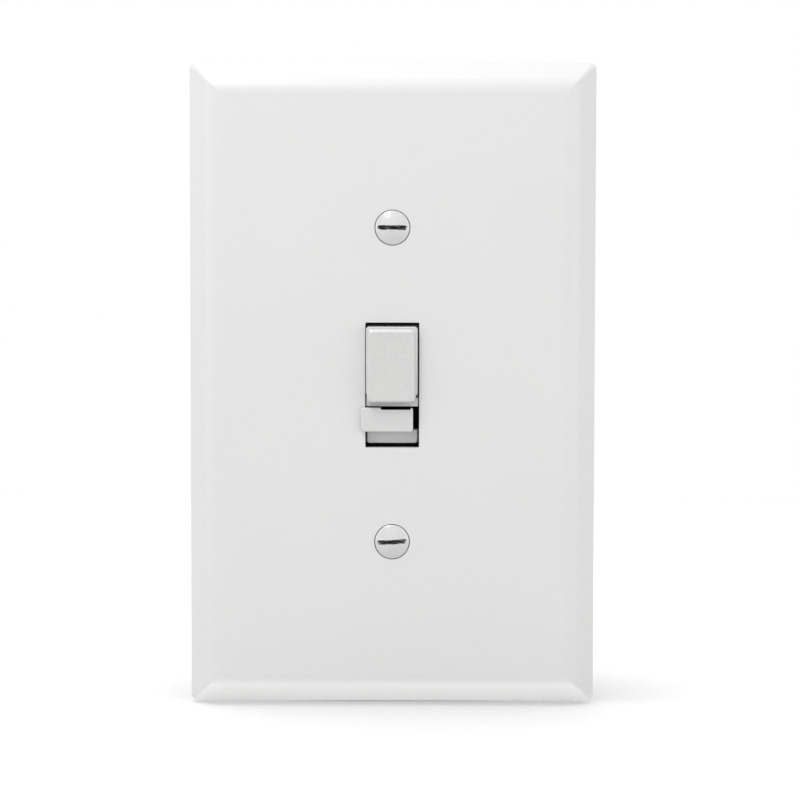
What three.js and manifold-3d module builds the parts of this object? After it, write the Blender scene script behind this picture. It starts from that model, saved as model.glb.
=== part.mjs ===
// Toggle-size wall plate with the push-button wall control that it covers.
// Millimetres. +X right and +Z up as seen from the room, +Y into the wall.
// The origin is on the wall plane (y = 0), behind the centre of the plate's opening.

import * as THREE from 'three';
import { mergeVertices } from 'three/addons/utils/BufferGeometryUtils.js';
import Module from 'manifold-3d';

const wasm = await Module();
wasm.setup();

// ---- driving dimensions ----

const INCH = 25.4;
const PLATE_WIDTH = 78.2;
const PLATE_HEIGHT = 123.6;
const PLATE_DEPTH = 5.6;
const PLATE_WALL = 2.2;
const RIM_DEPTH = 1.2;            // straight side of the plate next to the wall
const CROWN_RADIUS = 4.8;         // arc between the 45 degree bevel and the flat face
const PLATE_CORNER_RADIUS = 1.2;
const BOSS_RADIUS = 4.5;           // behind each plate screw
const OPENING_WIDTH = 10.3;
const OPENING_HEIGHT = 24.0;
const PLATE_SCREW_SPACING = 2.375 * INCH;
const BOX_SCREW_SPACING = 3.28 * INCH;

const SCREW_RADIUS = 0.138 * INCH / 2;   // No. 6-32 thread, outside
const THREAD_CLEARANCE = 0.15;
const OVAL_HEAD_RADIUS = 3.3;
const OVAL_HEAD_CROWN = 1.2;
const COUNTERSINK_HALF_ANGLE = 41 * Math.PI / 180;
const PLATE_SCREW_LENGTH = 0.5 * INCH;
const BOX_SCREW_LENGTH = INCH;
const BOX_SCREW_HEAD = { headRadius: 3.4, headHeight: 1.8 };
const BOX_SLOT_LENGTH = 7;
const BOX_SLOT_WIDTH = 4;
const WASHER_SIDE = 7.6;
const WASHER_THICKNESS = 0.5;
const SLOT_WIDTH = 0.95;
const SLOT_DEPTH = 1.0;
const LOWER_SLOT_TURN = 3.5 * Math.PI / 180;

const STRAP_THICKNESS = 1.2;
const STRAP_HEIGHT = 105;
const STRAP_NECK_WIDTH = 19;
const STRAP_EAR_WIDTH = 35;
const STRAP_EAR_HEIGHT = 8;
const STRAP_CORNER_RADIUS = 1.5;
const EAR_CORNER_RADIUS = 2.5;
const EAR_HOLE_X = 12.5;
const EAR_HOLE_RADIUS = 2;
const STRAP_BODY_HEIGHT = 74;
const STRAP_WINDOW_WIDTH = 10.3;
const STRAP_WINDOW_HEIGHT = 22.9;
const BODY_WIDTH = 44;            // strap body, front cover and rear housing
const HOUSING_HEIGHT = 69;
const HOUSING_BACK = 31;
const HOUSING_WALL = 1.8;
const COVER_THICKNESS = 2;

const NOSE_WIDTH = 9.7;
const NOSE_HALF_HEIGHT = 11.25;
const NOSE_FRONT = -3.8;
const LEDGE_TOP = -2.3;
const LEDGE_BOTTOM = -4.1;
const LEDGE_FRONT = -5.3;
const LEDGE_HALF_WIDTH = 4.97;
const CHANNEL_BOTTOM = -8.7;

const BUTTON_SHIFT = -0.08;       // the button stands a hair left of the opening's centre
const BUTTON_WIDTH = 9.86;
const BUTTON_CAP_WIDTH = 9.5;
const BUTTON_TOP = 11.25;
const BUTTON_SKIRT_BOTTOM = -2.1;
const BUTTON_SKIRT_FRONT = -7.0;   // level with the cap's rim above, stepped back below
const BUTTON_CAP_BOTTOM = -3.15;
const BUTTON_AXIS_Z = 4.65;
const BUTTON_BACK = -4.75;
const BUTTON_STEP = -6.25;        // back of the cap where it overhangs the ledge
const CAP_FRONT_TOP = -7.45;
const CAP_FRONT_BOTTOM = -8.2;
const CAP_CHAMFER = 1.1;
const BUTTON_TRAVEL = 0.8;
const PLUNGER_TRAVEL = 0.25;

const TAB_WIDTH = 10;
const TAB_HEIGHT = 4.65;
const TAB_FRONT = -6.6;
const TAB_BACK = -5.8;
const TAB_BEVEL = 0.25;
const TAB_Z = -6.575;
const TAB_TRAVEL = 2;             // from 1 mm left of centre to 1 mm right
const TAB_REST_X = -TAB_TRAVEL / 2;

const BOARD_FRONT = 9.5;
const BOARD_BACK = 11.1;
const BOARD_WIDTH = 36;
const BOARD_HEIGHT = 54;
const CORNER_POST_X = 18.2;
const CORNER_POST_Z = 30.6;
const CORNER_POST_RADIUS = 2.8;
const HOUSING_SCREW_RADIUS = 1.25;
const FIT = 0.3;                  // gap kept round pieces that pass through another

const ROUND = 20;
const FINE = 32;
const EPS = 0.5;                  // how far a cutter runs past the face it opens

// ---- solids ----

function toSolid(geometry) {
  const bare = geometry.clone();
  bare.deleteAttribute('normal');
  bare.deleteAttribute('uv');
  const merged = mergeVertices(bare, 1e-4);
  return new wasm.Manifold(new wasm.Mesh({
    numProp: 3,
    vertProperties: merged.attributes.position.array,
    triVerts: new Uint32Array(merged.index.array),
  }));
}

function toGeometry(solid) {
  const mesh = solid.getMesh();
  const geometry = new THREE.BufferGeometry();
  geometry.setAttribute('position', new THREE.BufferAttribute(mesh.vertProperties, 3));
  geometry.setIndex(new THREE.BufferAttribute(mesh.triVerts, 1));
  return geometry;
}

function joined(first, ...others) {
  return others.reduce((solid, other) => solid.add(other), first);
}

function cut(first, ...others) {
  return others.reduce((solid, other) => solid.subtract(other), first);
}

// A box given by its limits along each axis.
function box([x0, x1], [y0, y1], [z0, z1]) {
  const geometry = new THREE.BoxGeometry(x1 - x0, y1 - y0, z1 - z0);
  geometry.translate((x0 + x1) / 2, (y0 + y1) / 2, (z0 + z1) / 2);
  return toSolid(geometry);
}

// A round rod along Y.
function rod(radius, [y0, y1], [x, z] = [0, 0], segments = ROUND) {
  const geometry = new THREE.CylinderGeometry(radius, radius, y1 - y0, segments);
  geometry.translate(x, (y0 + y1) / 2, z);
  return toSolid(geometry);
}

// A shape drawn as seen from the room (x right, z up), extruded from y0 to y1.
function slab(shape, [y0, y1], curveSegments = 2) {
  const geometry = new THREE.ExtrudeGeometry(shape, {
    depth: y1 - y0,
    bevelEnabled: false,
    curveSegments,
  });
  geometry.rotateX(Math.PI / 2);
  geometry.translate(0, y1, 0);
  return toSolid(geometry);
}

// A solid of revolution about the Y axis, from [radius, y] points in order of rising y.
function turned(points, segments = ROUND) {
  return toSolid(new THREE.LatheGeometry(points.map(([r, y]) => new THREE.Vector2(r, y)), segments));
}

function roundedRect(width, height, radius, [cx, cz] = [0, 0]) {
  const x = width / 2 - radius;
  const z = height / 2 - radius;
  const shape = new THREE.Shape();
  shape.absarc(cx + x, cz - z, radius, -Math.PI / 2, 0, false);
  shape.absarc(cx + x, cz + z, radius, 0, Math.PI / 2, false);
  shape.absarc(cx - x, cz + z, radius, Math.PI / 2, Math.PI, false);
  shape.absarc(cx - x, cz - z, radius, Math.PI, 3 * Math.PI / 2, false);
  shape.closePath();
  return shape;
}

// A slot with round ends, its length along X.
function oblong(length, width, [cx, cz] = [0, 0]) {
  return roundedRect(length, width, width / 2 - 0.001, [cx, cz]);
}

const group = new THREE.Group();

function addPiece(name, solid, colour, roughness, metalness = 0) {
  const material = new THREE.MeshStandardMaterial({ color: colour, roughness, metalness });
  const mesh = new THREE.Mesh(toGeometry(solid), material);
  mesh.name = name;
  group.add(mesh);
  return mesh;
}

const WHITE = 0xf1f1f0;
const BLACK = 0x17181a;
const STEEL = 0xb9bcc0;
const BRASS = 0xc79a4a;
const COPPER = 0xb5623a;
const BOARD_GREEN = 0x1e5a38;
const GREEN = 0x2e7d4a;
const FIBRE = 0xa8763e;
const PAD_GREY = 0x8a9aa8;
const FERRITE = 0x3a3a3c;
const FILM_YELLOW = 0xc9a13a;
const SLEEVE_BLACK = 0x20242c;
const EPOXY_BLUE = 0x2b62a8;
const CERAMIC = 0xd8d8d4;
const LACQUER_TAN = 0xcbb28a;
const NYLON = 0xe4e2da;
const HOUSING_GREY = 0x2a2c30;

// ---- wall plate ----

// Side view of the dished plate: a straight rim, a 45 degree bevel, then an arc into the flat face.
function crownProfile(half, rim, depth, radius, back) {
  const rise = depth - rim;
  const arcRise = radius * (1 - Math.cos(Math.PI / 4));
  const bevel = rise - arcRise;
  const arcEnd = bevel + radius * Math.sin(Math.PI / 4);
  const shape = new THREE.Shape();
  shape.moveTo(half, back);
  shape.lineTo(half, -rim);
  shape.absarc(half - arcEnd, -depth + radius, radius, -Math.PI / 4, -Math.PI / 2, true);
  shape.absarc(arcEnd - half, -depth + radius, radius, -Math.PI / 2, -3 * Math.PI / 4, true);
  shape.lineTo(-half, -rim);
  shape.lineTo(-half, back);
  shape.closePath();
  return shape;
}

// Two crowned prisms crossed give the four mitred corners.
function crownedSlab(width, height, rim, depth, radius, back) {
  const options = { bevelEnabled: false, curveSegments: 4 };
  const along = new THREE.ExtrudeGeometry(
    crownProfile(width / 2, rim, depth, radius, back), { ...options, depth: height });
  along.translate(0, 0, -height / 2);
  const across = new THREE.ExtrudeGeometry(
    crownProfile(height / 2, rim, depth, radius, back), { ...options, depth: width });
  across.translate(0, 0, -width / 2);
  across.rotateY(-Math.PI / 2);
  return toSolid(along).intersect(toSolid(across));
}

function screwSeat(z) {
  const mouth = OVAL_HEAD_RADIUS + 0.15;
  const bore = SCREW_RADIUS + 0.25;
  const bottom = -PLATE_DEPTH + (mouth - bore) / Math.tan(COUNTERSINK_HALF_ANGLE);
  const flare = EPS * Math.tan(COUNTERSINK_HALF_ANGLE);
  const seat = turned([
    [0, -PLATE_DEPTH - EPS],
    [mouth + flare, -PLATE_DEPTH - EPS],
    [bore, bottom],
    [bore, 0],
    [0, 0],
  ], FINE);
  return seat.translate([0, 0, z]);
}

function wallPlate() {
  const outer = crownedSlab(PLATE_WIDTH, PLATE_HEIGHT, RIM_DEPTH, PLATE_DEPTH, CROWN_RADIUS, 0);
  const corners = slab(
    roundedRect(PLATE_WIDTH, PLATE_HEIGHT, PLATE_CORNER_RADIUS), [-PLATE_DEPTH - EPS, EPS]);
  const hollow = crownedSlab(
    PLATE_WIDTH - 2 * PLATE_WALL, PLATE_HEIGHT - 2 * PLATE_WALL,
    0.4, PLATE_DEPTH - PLATE_WALL, CROWN_RADIUS - 1, EPS);
  const inside = PLATE_WALL - PLATE_DEPTH;
  const bossEnd = -STRAP_THICKNESS - FIT;
  const bosses = [1, -1].map((side) => (
    rod(BOSS_RADIUS, [inside - EPS, bossEnd], [0, side * PLATE_SCREW_SPACING / 2])));
  const opening = box(
    [-OPENING_WIDTH / 2, OPENING_WIDTH / 2], [-PLATE_DEPTH - EPS, 0],
    [-OPENING_HEIGHT / 2, OPENING_HEIGHT / 2]);
  const shell = joined(cut(outer.intersect(corners), hollow), ...bosses);
  return cut(shell, opening, screwSeat(PLATE_SCREW_SPACING / 2), screwSeat(-PLATE_SCREW_SPACING / 2));
}

// ---- screws: the head faces -Y, the shank runs to +Y ----

function slotCutter(front, depth, radius, width = SLOT_WIDTH) {
  return box([-radius - EPS, radius + EPS], [front - EPS, front + depth], [-width / 2, width / 2]);
}

// Oval head: a shallow dome over an 82 degree cone, drawn with the cone's edge at y = 0.
function ovalHeadScrew(length) {
  const cone = (OVAL_HEAD_RADIUS - SCREW_RADIUS) / Math.tan(COUNTERSINK_HALF_ANGLE);
  const domeRadius = (OVAL_HEAD_RADIUS ** 2 + OVAL_HEAD_CROWN ** 2) / (2 * OVAL_HEAD_CROWN);
  const domeSteps = 6;
  const dome = Array.from({ length: domeSteps }, (_, i) => {
    const r = OVAL_HEAD_RADIUS * i / domeSteps;
    return [r, domeRadius - OVAL_HEAD_CROWN - Math.sqrt(domeRadius ** 2 - r ** 2)];
  });
  const body = turned([
    ...dome,
    [OVAL_HEAD_RADIUS, 0],
    [SCREW_RADIUS, cone],
    [SCREW_RADIUS, length - 0.6],
    [SCREW_RADIUS - 0.6, length],
    [0, length],
  ], FINE);
  return cut(body, slotCutter(-OVAL_HEAD_CROWN, SLOT_DEPTH, OVAL_HEAD_RADIUS));
}

// Low pan or binding head, drawn with its underside at y = 0.
function panHeadScrew({ headRadius, headHeight, shankRadius, length, slot = SLOT_WIDTH }) {
  const body = turned([
    [0, -headHeight],
    [headRadius * 0.72, -headHeight],
    [headRadius * 0.94, -headHeight * 0.72],
    [headRadius, -headHeight * 0.3],
    [headRadius, 0],
    [shankRadius, 0],
    [shankRadius, length - shankRadius / 2],
    [shankRadius / 2, length],
    [0, length],
  ]);
  return cut(body, slotCutter(-headHeight, headHeight * 0.55, headRadius, slot));
}

function addPlateScrews() {
  const spots = [['plate_screw_upper', 1, 0], ['plate_screw_lower', -1, LOWER_SLOT_TURN]];
  for (const [name, side, turn] of spots) {
    const screw = addPiece(name, ovalHeadScrew(PLATE_SCREW_LENGTH), WHITE, 0.3);
    screw.position.set(0, -PLATE_DEPTH + 0.05, side * PLATE_SCREW_SPACING / 2);
    screw.rotation.y = -turn;
  }
}

function addBoxScrews() {
  for (const [suffix, side] of [['upper', 1], ['lower', -1]]) {
    const z = side * BOX_SCREW_SPACING / 2;
    const screw = addPiece(`box_screw_${suffix}`, panHeadScrew({
      ...BOX_SCREW_HEAD, shankRadius: SCREW_RADIUS, length: BOX_SCREW_LENGTH,
    }), STEEL, 0.35, 1);
    screw.position.set(0, -STRAP_THICKNESS, z);
    const washer = cut(
      slab(roundedRect(WASHER_SIDE, WASHER_SIDE, 0.8, [0, z]), [0, WASHER_THICKNESS]),
      rod(SCREW_RADIUS + 0.1, [-EPS, 1], [0, z]));
    addPiece(`box_screw_washer_${suffix}`, washer, FIBRE, 0.9);
  }
}

// ---- mounting strap ----

const CORNER_SPOTS = [[1, 1], [-1, 1], [-1, -1], [1, -1]].map(([i, j]) => (
  [i * CORNER_POST_X, j * CORNER_POST_Z]));
const TRIAC_X = 14;
const TRIAC_HOLE_Z = 22.4;
const LEG_X = [-20, -10];
const LEG_END = 12;
const EARTH_SCREW_Y = 7;
const EARTH_SCREW_RADIUS = 2.4;
const RIVET_HOLE_RADIUS = 1.7;
const EARTH_SCREW = {
  headRadius: 4.2, headHeight: 2.4, shankRadius: EARTH_SCREW_RADIUS, length: 2.2, slot: 1.2,
};

function mountingStrap() {
  const across = [-STRAP_THICKNESS, 0];
  const earZ = (STRAP_HEIGHT - STRAP_EAR_HEIGHT) / 2;
  const body = slab(roundedRect(BODY_WIDTH, STRAP_BODY_HEIGHT, STRAP_CORNER_RADIUS), across);
  const neck = slab(roundedRect(STRAP_NECK_WIDTH, STRAP_HEIGHT, STRAP_CORNER_RADIUS), across);
  const ears = [1, -1].map((side) => (
    slab(roundedRect(STRAP_EAR_WIDTH, STRAP_EAR_HEIGHT, EAR_CORNER_RADIUS, [0, side * earZ]), across)));
  const legEdge = -STRAP_BODY_HEIGHT / 2;
  const leg = box(LEG_X, [-STRAP_THICKNESS, LEG_END], [legEdge, legEdge + STRAP_THICKNESS]);
  const through = [-STRAP_THICKNESS - EPS, EPS];
  const window = slab(roundedRect(STRAP_WINDOW_WIDTH, STRAP_WINDOW_HEIGHT, 0.5), through);
  const tapped = [1, -1].map((side) => (
    rod(SCREW_RADIUS + THREAD_CLEARANCE, through, [0, side * PLATE_SCREW_SPACING / 2])));
  const boxSlots = [1, -1].map((side) => (
    slab(oblong(BOX_SLOT_LENGTH, BOX_SLOT_WIDTH, [0, side * BOX_SCREW_SPACING / 2]), through)));
  const earHoles = [1, -1].flatMap((i) => [1, -1].map((j) => (
    rod(EAR_HOLE_RADIUS, through, [i * EAR_HOLE_X, j * earZ]))));
  const cornerHoles = CORNER_SPOTS.map((spot) => (
    rod(HOUSING_SCREW_RADIUS + THREAD_CLEARANCE, through, spot)));
  const rivetHole = rod(RIVET_HOLE_RADIUS, through, [TRIAC_X, TRIAC_HOLE_Z]);
  const earthHole = rod(EARTH_SCREW_RADIUS + THREAD_CLEARANCE, [-2, 2])
    .rotate([90, 0, 0])
    .translate([(LEG_X[0] + LEG_X[1]) / 2, EARTH_SCREW_Y, legEdge]);
  return cut(joined(body, neck, ...ears, leg),
    window, ...tapped, ...boxSlots, ...earHoles, ...cornerHoles, rivetHole, earthHole);
}

function addEarthScrew() {
  const screw = addPiece('earth_screw', panHeadScrew(EARTH_SCREW), GREEN, 0.4, 0.6);
  screw.position.set((LEG_X[0] + LEG_X[1]) / 2, EARTH_SCREW_Y, -STRAP_BODY_HEIGHT / 2 - 0.05);
  screw.rotation.x = Math.PI / 2;
}

// ---- front cover and the nose bezel that stands on it ----

const SPRING_RADIUS = 2.2;
const SPRING_WIRE = 0.4;
const SPRING_BORE_RADIUS = 2.7;
const POST_RADIUS = 1.5;
const POST_TIP = 4.65;
const LEG_OFFSET = 4.0;
const LEG_TIP = 3.1;
const HOLLOW_HALF_WIDTH = 3.7;
const HOLLOW_Z = [-0.9, 10.2];
const FLANGE_WIDTH = 13;
const FLANGE_HEIGHT = 26.4;
const FLANGE_THICKNESS = 0.8;      // the flange lies in a pocket of the cover, held by the strap
const TRIAC_WINDOW = { x: [TRIAC_X - 5.6, TRIAC_X + 5.6], z: [8.2, 27.2] };
const STANDOFFS = [[13, -22], [-13, -22], [-13, 22]];
const STANDOFF_RADIUS = 2;

function legSlots([y0, y1]) {
  return [1, -1].map((side) => {
    const z = BUTTON_AXIS_Z + side * (LEG_OFFSET + 0.35);
    return box([-1.5, 1.5], [y0, y1], [z - 1.05, z + 1.05]);
  });
}

function noseBezel() {
  const halfNose = NOSE_WIDTH / 2;
  const through = [NOSE_FRONT - EPS, FLANGE_THICKNESS + EPS];
  const nose = slab(roundedRect(NOSE_WIDTH, 2 * NOSE_HALF_HEIGHT, 0.5), [NOSE_FRONT, 0.4]);
  const ledge = box(
    [-LEDGE_HALF_WIDTH, LEDGE_HALF_WIDTH], [LEDGE_FRONT, NOSE_FRONT + 1], [LEDGE_BOTTOM, LEDGE_TOP]);
  const flange = slab(roundedRect(FLANGE_WIDTH, FLANGE_HEIGHT, 1), [0, FLANGE_THICKNESS]);
  const channel = box([-halfNose - EPS, halfNose + EPS], through, [CHANNEL_BOTTOM, LEDGE_BOTTOM]);
  const springBore = rod(SPRING_BORE_RADIUS, through, [0, BUTTON_AXIS_Z]);
  return cut(joined(nose, ledge, flange), channel, springBore, ...legSlots(through));
}

function frontCover() {
  const through = [-EPS, COVER_THICKNESS + EPS];
  const plate = slab(roundedRect(BODY_WIDTH, HOUSING_HEIGHT, 3), [0, COVER_THICKNESS]);
  const standoffs = STANDOFFS.map((spot) => rod(STANDOFF_RADIUS, [1, BOARD_FRONT], spot));
  const pocket = slab(
    roundedRect(FLANGE_WIDTH + FIT, FLANGE_HEIGHT + FIT, 1.1), [-EPS, FLANGE_THICKNESS]);
  const stemSlot = slab(
    roundedRect(2 * (STEM_HALF_WIDTH + TAB_TRAVEL / 2 + FIT), 2.9, 0.3, [0, TAB_Z]), through);
  const postBore = rod(POST_RADIUS + 0.2, through, [0, BUTTON_AXIS_Z]);
  const triacWindow = box(TRIAC_WINDOW.x, through, TRIAC_WINDOW.z);
  const screwHoles = [1, -1].map((side) => (
    rod(2.2, through, [0, side * PLATE_SCREW_SPACING / 2])));
  const cornerHoles = CORNER_SPOTS.map((spot) => (
    rod(HOUSING_SCREW_RADIUS + THREAD_CLEARANCE, through, spot)));
  return cut(joined(plate, ...standoffs),
    pocket, stemSlot, postBore, ...legSlots(through), triacWindow, ...screwHoles, ...cornerHoles);
}

// ---- push button, its spring and the switch it presses ----

// Side view of the cap (y, z): a bright top chamfer and a slightly dished, forward-leaning face.
function capProfile() {
  const shape = new THREE.Shape();
  shape.moveTo(BUTTON_STEP, BUTTON_CAP_BOTTOM + 0.3);
  shape.lineTo(BUTTON_STEP - 0.3, BUTTON_CAP_BOTTOM);
  shape.lineTo(CAP_FRONT_BOTTOM + 0.3, BUTTON_CAP_BOTTOM);
  shape.quadraticCurveTo(
    CAP_FRONT_BOTTOM - 0.05, BUTTON_CAP_BOTTOM, CAP_FRONT_BOTTOM, BUTTON_CAP_BOTTOM + 0.5);
  shape.quadraticCurveTo(
    CAP_FRONT_TOP, (BUTTON_TOP + BUTTON_CAP_BOTTOM) / 2, CAP_FRONT_TOP, BUTTON_TOP - CAP_CHAMFER);
  shape.lineTo(-6.6, BUTTON_TOP - 0.1);
  shape.lineTo(BUTTON_STEP, BUTTON_TOP);
  shape.closePath();
  return shape;
}

function pushButton() {
  const side = new THREE.ExtrudeGeometry(capProfile(), {
    depth: BUTTON_CAP_WIDTH,
    curveSegments: 5,
    bevelEnabled: false,
  });
  side.translate(0, 0, -BUTTON_CAP_WIDTH / 2);
  // Shape axes (y, z, x) to (x, y, z).
  side.applyMatrix4(new THREE.Matrix4().set(0, 0, 1, 0, 1, 0, 0, 0, 0, 1, 0, 0, 0, 0, 0, 1));
  const capHeight = BUTTON_TOP - BUTTON_CAP_BOTTOM;
  const front = slab(
    roundedRect(BUTTON_CAP_WIDTH, capHeight, 0.7, [0, BUTTON_CAP_BOTTOM + capHeight / 2]), [-9, 0]);
  const cap = toSolid(side).intersect(front);
  const skirtHeight = BUTTON_TOP - BUTTON_SKIRT_BOTTOM;
  const skirt = slab(
    roundedRect(BUTTON_WIDTH, skirtHeight, 0.6, [0, BUTTON_SKIRT_BOTTOM + skirtHeight / 2]),
    [BUTTON_SKIRT_FRONT, BUTTON_BACK]);
  const hollow = box(
    [-HOLLOW_HALF_WIDTH, HOLLOW_HALF_WIDTH], [BUTTON_STEP - 0.15, BUTTON_BACK + EPS], HOLLOW_Z);
  const post = rod(POST_RADIUS, [BUTTON_STEP - 0.35, POST_TIP], [0, BUTTON_AXIS_Z]);
  const parts = [post];
  for (const end of [1, -1]) {
    const z = BUTTON_AXIS_Z + end * LEG_OFFSET;
    const barb = z + end * 0.9;
    parts.push(box([-1.2, 1.2], [BUTTON_STEP - 0.35, LEG_TIP], [z - 0.5, z + 0.5]));
    parts.push(box([-1.2, 1.2], [COVER_THICKNESS + 0.1, LEG_TIP], [barb - 0.8, barb + 0.8]));
  }
  return joined(cut(cap.add(skirt), hollow), ...parts).translate([BUTTON_SHIFT, 0, 0]);
}

class Helix extends THREE.Curve {
  constructor(radius, start, end, turns) {
    super();
    Object.assign(this, { radius, start, end, turns });
  }

  getPoint(t) {
    const angle = 2 * Math.PI * this.turns * t;
    return new THREE.Vector3(
      this.radius * Math.cos(angle), this.start + t * (this.end - this.start),
      this.radius * Math.sin(angle));
  }
}

function buttonSpring() {
  const turns = 6;
  const start = -6.35 + SPRING_WIRE / 2;
  const end = FLANGE_THICKNESS - 0.05 - SPRING_WIRE / 2;
  const wire = new THREE.Shape().absarc(0, 0, SPRING_WIRE / 2, 0, 2 * Math.PI, false);
  const geometry = new THREE.ExtrudeGeometry(wire, {
    steps: turns * 10,
    curveSegments: 3,
    bevelEnabled: false,
    extrudePath: new Helix(SPRING_RADIUS, start, end, turns),
  });
  geometry.translate(BUTTON_SHIFT, 0, BUTTON_AXIS_Z);
  return toSolid(geometry);
}

const SWITCH_SIDE = 6;
const SWITCH_FRONT = 6;
const SWITCH_BORE_END = 8.2;
const PLUNGER_RADIUS = 1.7;
const PLUNGER_BACK = 7.7;
const PLUNGER_TIP = POST_TIP + BUTTON_TRAVEL - PLUNGER_TRAVEL + 0.05;

function addTactSwitch() {
  const spot = [BUTTON_SHIFT, BUTTON_AXIS_Z];
  const body = cut(
    slab(roundedRect(SWITCH_SIDE, SWITCH_SIDE, 0.5, spot), [SWITCH_FRONT, BOARD_FRONT]),
    rod(PLUNGER_RADIUS + 0.15, [SWITCH_FRONT - EPS, SWITCH_BORE_END], spot));
  addPiece('tact_switch_body', body, STEEL, 0.4, 0.8);
  const plunger = turned([
    [0, PLUNGER_TIP],
    [PLUNGER_RADIUS - 0.2, PLUNGER_TIP],
    [PLUNGER_RADIUS, PLUNGER_TIP + 0.2],
    [PLUNGER_RADIUS, PLUNGER_BACK],
    [0, PLUNGER_BACK],
  ]);
  addPiece('tact_switch_plunger', plunger.translate([spot[0], 0, spot[1]]), BLACK, 0.6);
}

// ---- slide tab and the cut-off contacts ----

const STEM_HALF_WIDTH = 2.3;
const STEM_HALF_HEIGHT = 1.15;
const CARRIER_WIDTH = 12;
const CARRIER_HEIGHT = 5.6;
const CARRIER_FRONT = 2.3;
const CARRIER_BACK = 4.6;
const BRIDGE_BACK = 5.2;
const BRIDGE_LENGTH = 13;
const BRIDGE_WIDTH = 3;

function slideTab() {
  const bevel = TAB_BEVEL;
  const tab = new THREE.ExtrudeGeometry(
    roundedRect(TAB_WIDTH - 2 * bevel, TAB_HEIGHT - 2 * bevel, 0.3), {
      depth: TAB_BACK - TAB_FRONT - 2 * bevel,
      curveSegments: 2,
      bevelThickness: bevel,
      bevelSize: bevel,
      bevelSegments: 2,
    });
  tab.rotateX(Math.PI / 2);
  tab.translate(0, TAB_BACK - bevel, 0);
  const stem = box([-STEM_HALF_WIDTH, STEM_HALF_WIDTH], [TAB_BACK - 0.4, CARRIER_BACK - 0.1],
    [-STEM_HALF_HEIGHT, STEM_HALF_HEIGHT]);
  return toSolid(tab).add(stem).translate([TAB_REST_X, 0, TAB_Z]);
}

function slideCarrier() {
  const block = slab(roundedRect(CARRIER_WIDTH, CARRIER_HEIGHT, 0.8), [CARRIER_FRONT, CARRIER_BACK]);
  const mortise = box([-STEM_HALF_WIDTH - 0.05, STEM_HALF_WIDTH + 0.05],
    [CARRIER_FRONT - EPS, CARRIER_BACK + EPS], [-STEM_HALF_HEIGHT - 0.05, STEM_HALF_HEIGHT + 0.05]);
  return cut(block, mortise).translate([TAB_REST_X, 0, TAB_Z]);
}

function contactBridge() {
  return slab(roundedRect(BRIDGE_LENGTH, BRIDGE_WIDTH, 0.6, [TAB_REST_X + 0.5, TAB_Z]),
    [CARRIER_BACK, BRIDGE_BACK]);
}

// Fixed contacts: a post from the board with a wide pad just behind the bridge.
function fixedContact(x0, x1) {
  const pad = box([x0, x1], [BRIDGE_BACK + 0.1, BRIDGE_BACK + 0.9], [TAB_Z - 1.8, TAB_Z + 1.8]);
  const post = box([x0, x0 + 0.8], [BRIDGE_BACK + 0.1, BOARD_FRONT], [TAB_Z - 1.2, TAB_Z + 1.2]);
  return pad.add(post);
}

// ---- rear housing ----

const TERMINAL_Z = [14, -14];
const TERMINAL_Y = 17;
const TERMINAL_WINDOW = 9;
const TERMINAL_SCREW = {
  headRadius: 3.9, headHeight: 1.9, shankRadius: 1.9, length: 2.4, slot: 1.1,
};
const HOUSING_SCREW = {
  headRadius: 2.2, headHeight: 1.4, shankRadius: HOUSING_SCREW_RADIUS, length: 29.9, slot: 0.7,
};
const HEAD_RECESS_DEPTH = 2.2;

function rearHousing() {
  const inner = [COVER_THICKNESS - EPS, HOUSING_BACK - HOUSING_WALL];
  const outerShape = roundedRect(BODY_WIDTH, HOUSING_HEIGHT, 3);
  const innerShape = roundedRect(
    BODY_WIDTH - 2 * HOUSING_WALL, HOUSING_HEIGHT - 2 * HOUSING_WALL, 3 - HOUSING_WALL);
  const shell = cut(slab(outerShape, [COVER_THICKNESS, HOUSING_BACK]), slab(innerShape, inner));
  const posts = CORNER_SPOTS.map((spot) => (
    rod(CORNER_POST_RADIUS, [COVER_THICKNESS, HOUSING_BACK - 1], spot)));
  const holes = CORNER_SPOTS.flatMap((spot) => [
    rod(HOUSING_SCREW_RADIUS + THREAD_CLEARANCE, [0, HOUSING_BACK + EPS], spot),
    rod(HOUSING_SCREW.headRadius + 0.15, [HOUSING_BACK - HEAD_RECESS_DEPTH, HOUSING_BACK + EPS], spot),
  ]);
  const half = TERMINAL_WINDOW / 2;
  const windows = TERMINAL_Z.map((z) => (
    box([BODY_WIDTH / 2 - HOUSING_WALL - EPS, BODY_WIDTH / 2 + EPS],
      [TERMINAL_Y - half, TERMINAL_Y + half], [z - half, z + half])));
  return cut(shell.add(joined(...posts)), ...holes, ...windows);
}

function addHousingScrews() {
  CORNER_SPOTS.forEach(([x, z], i) => {
    const screw = addPiece(
      `housing_screw_${i + 1}`, panHeadScrew(HOUSING_SCREW), STEEL, 0.35, 1);
    screw.position.set(x, HOUSING_BACK - HEAD_RECESS_DEPTH + 0.05, z);
    screw.rotation.x = Math.PI;
  });
}

const TERMINAL_THICKNESS = 1;
const TERMINAL_REACH = 4.2;        // from the terminal's face in to its tongue
const TERMINAL_HALF_WIDTH = 2;     // of the foot and the tongue

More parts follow.
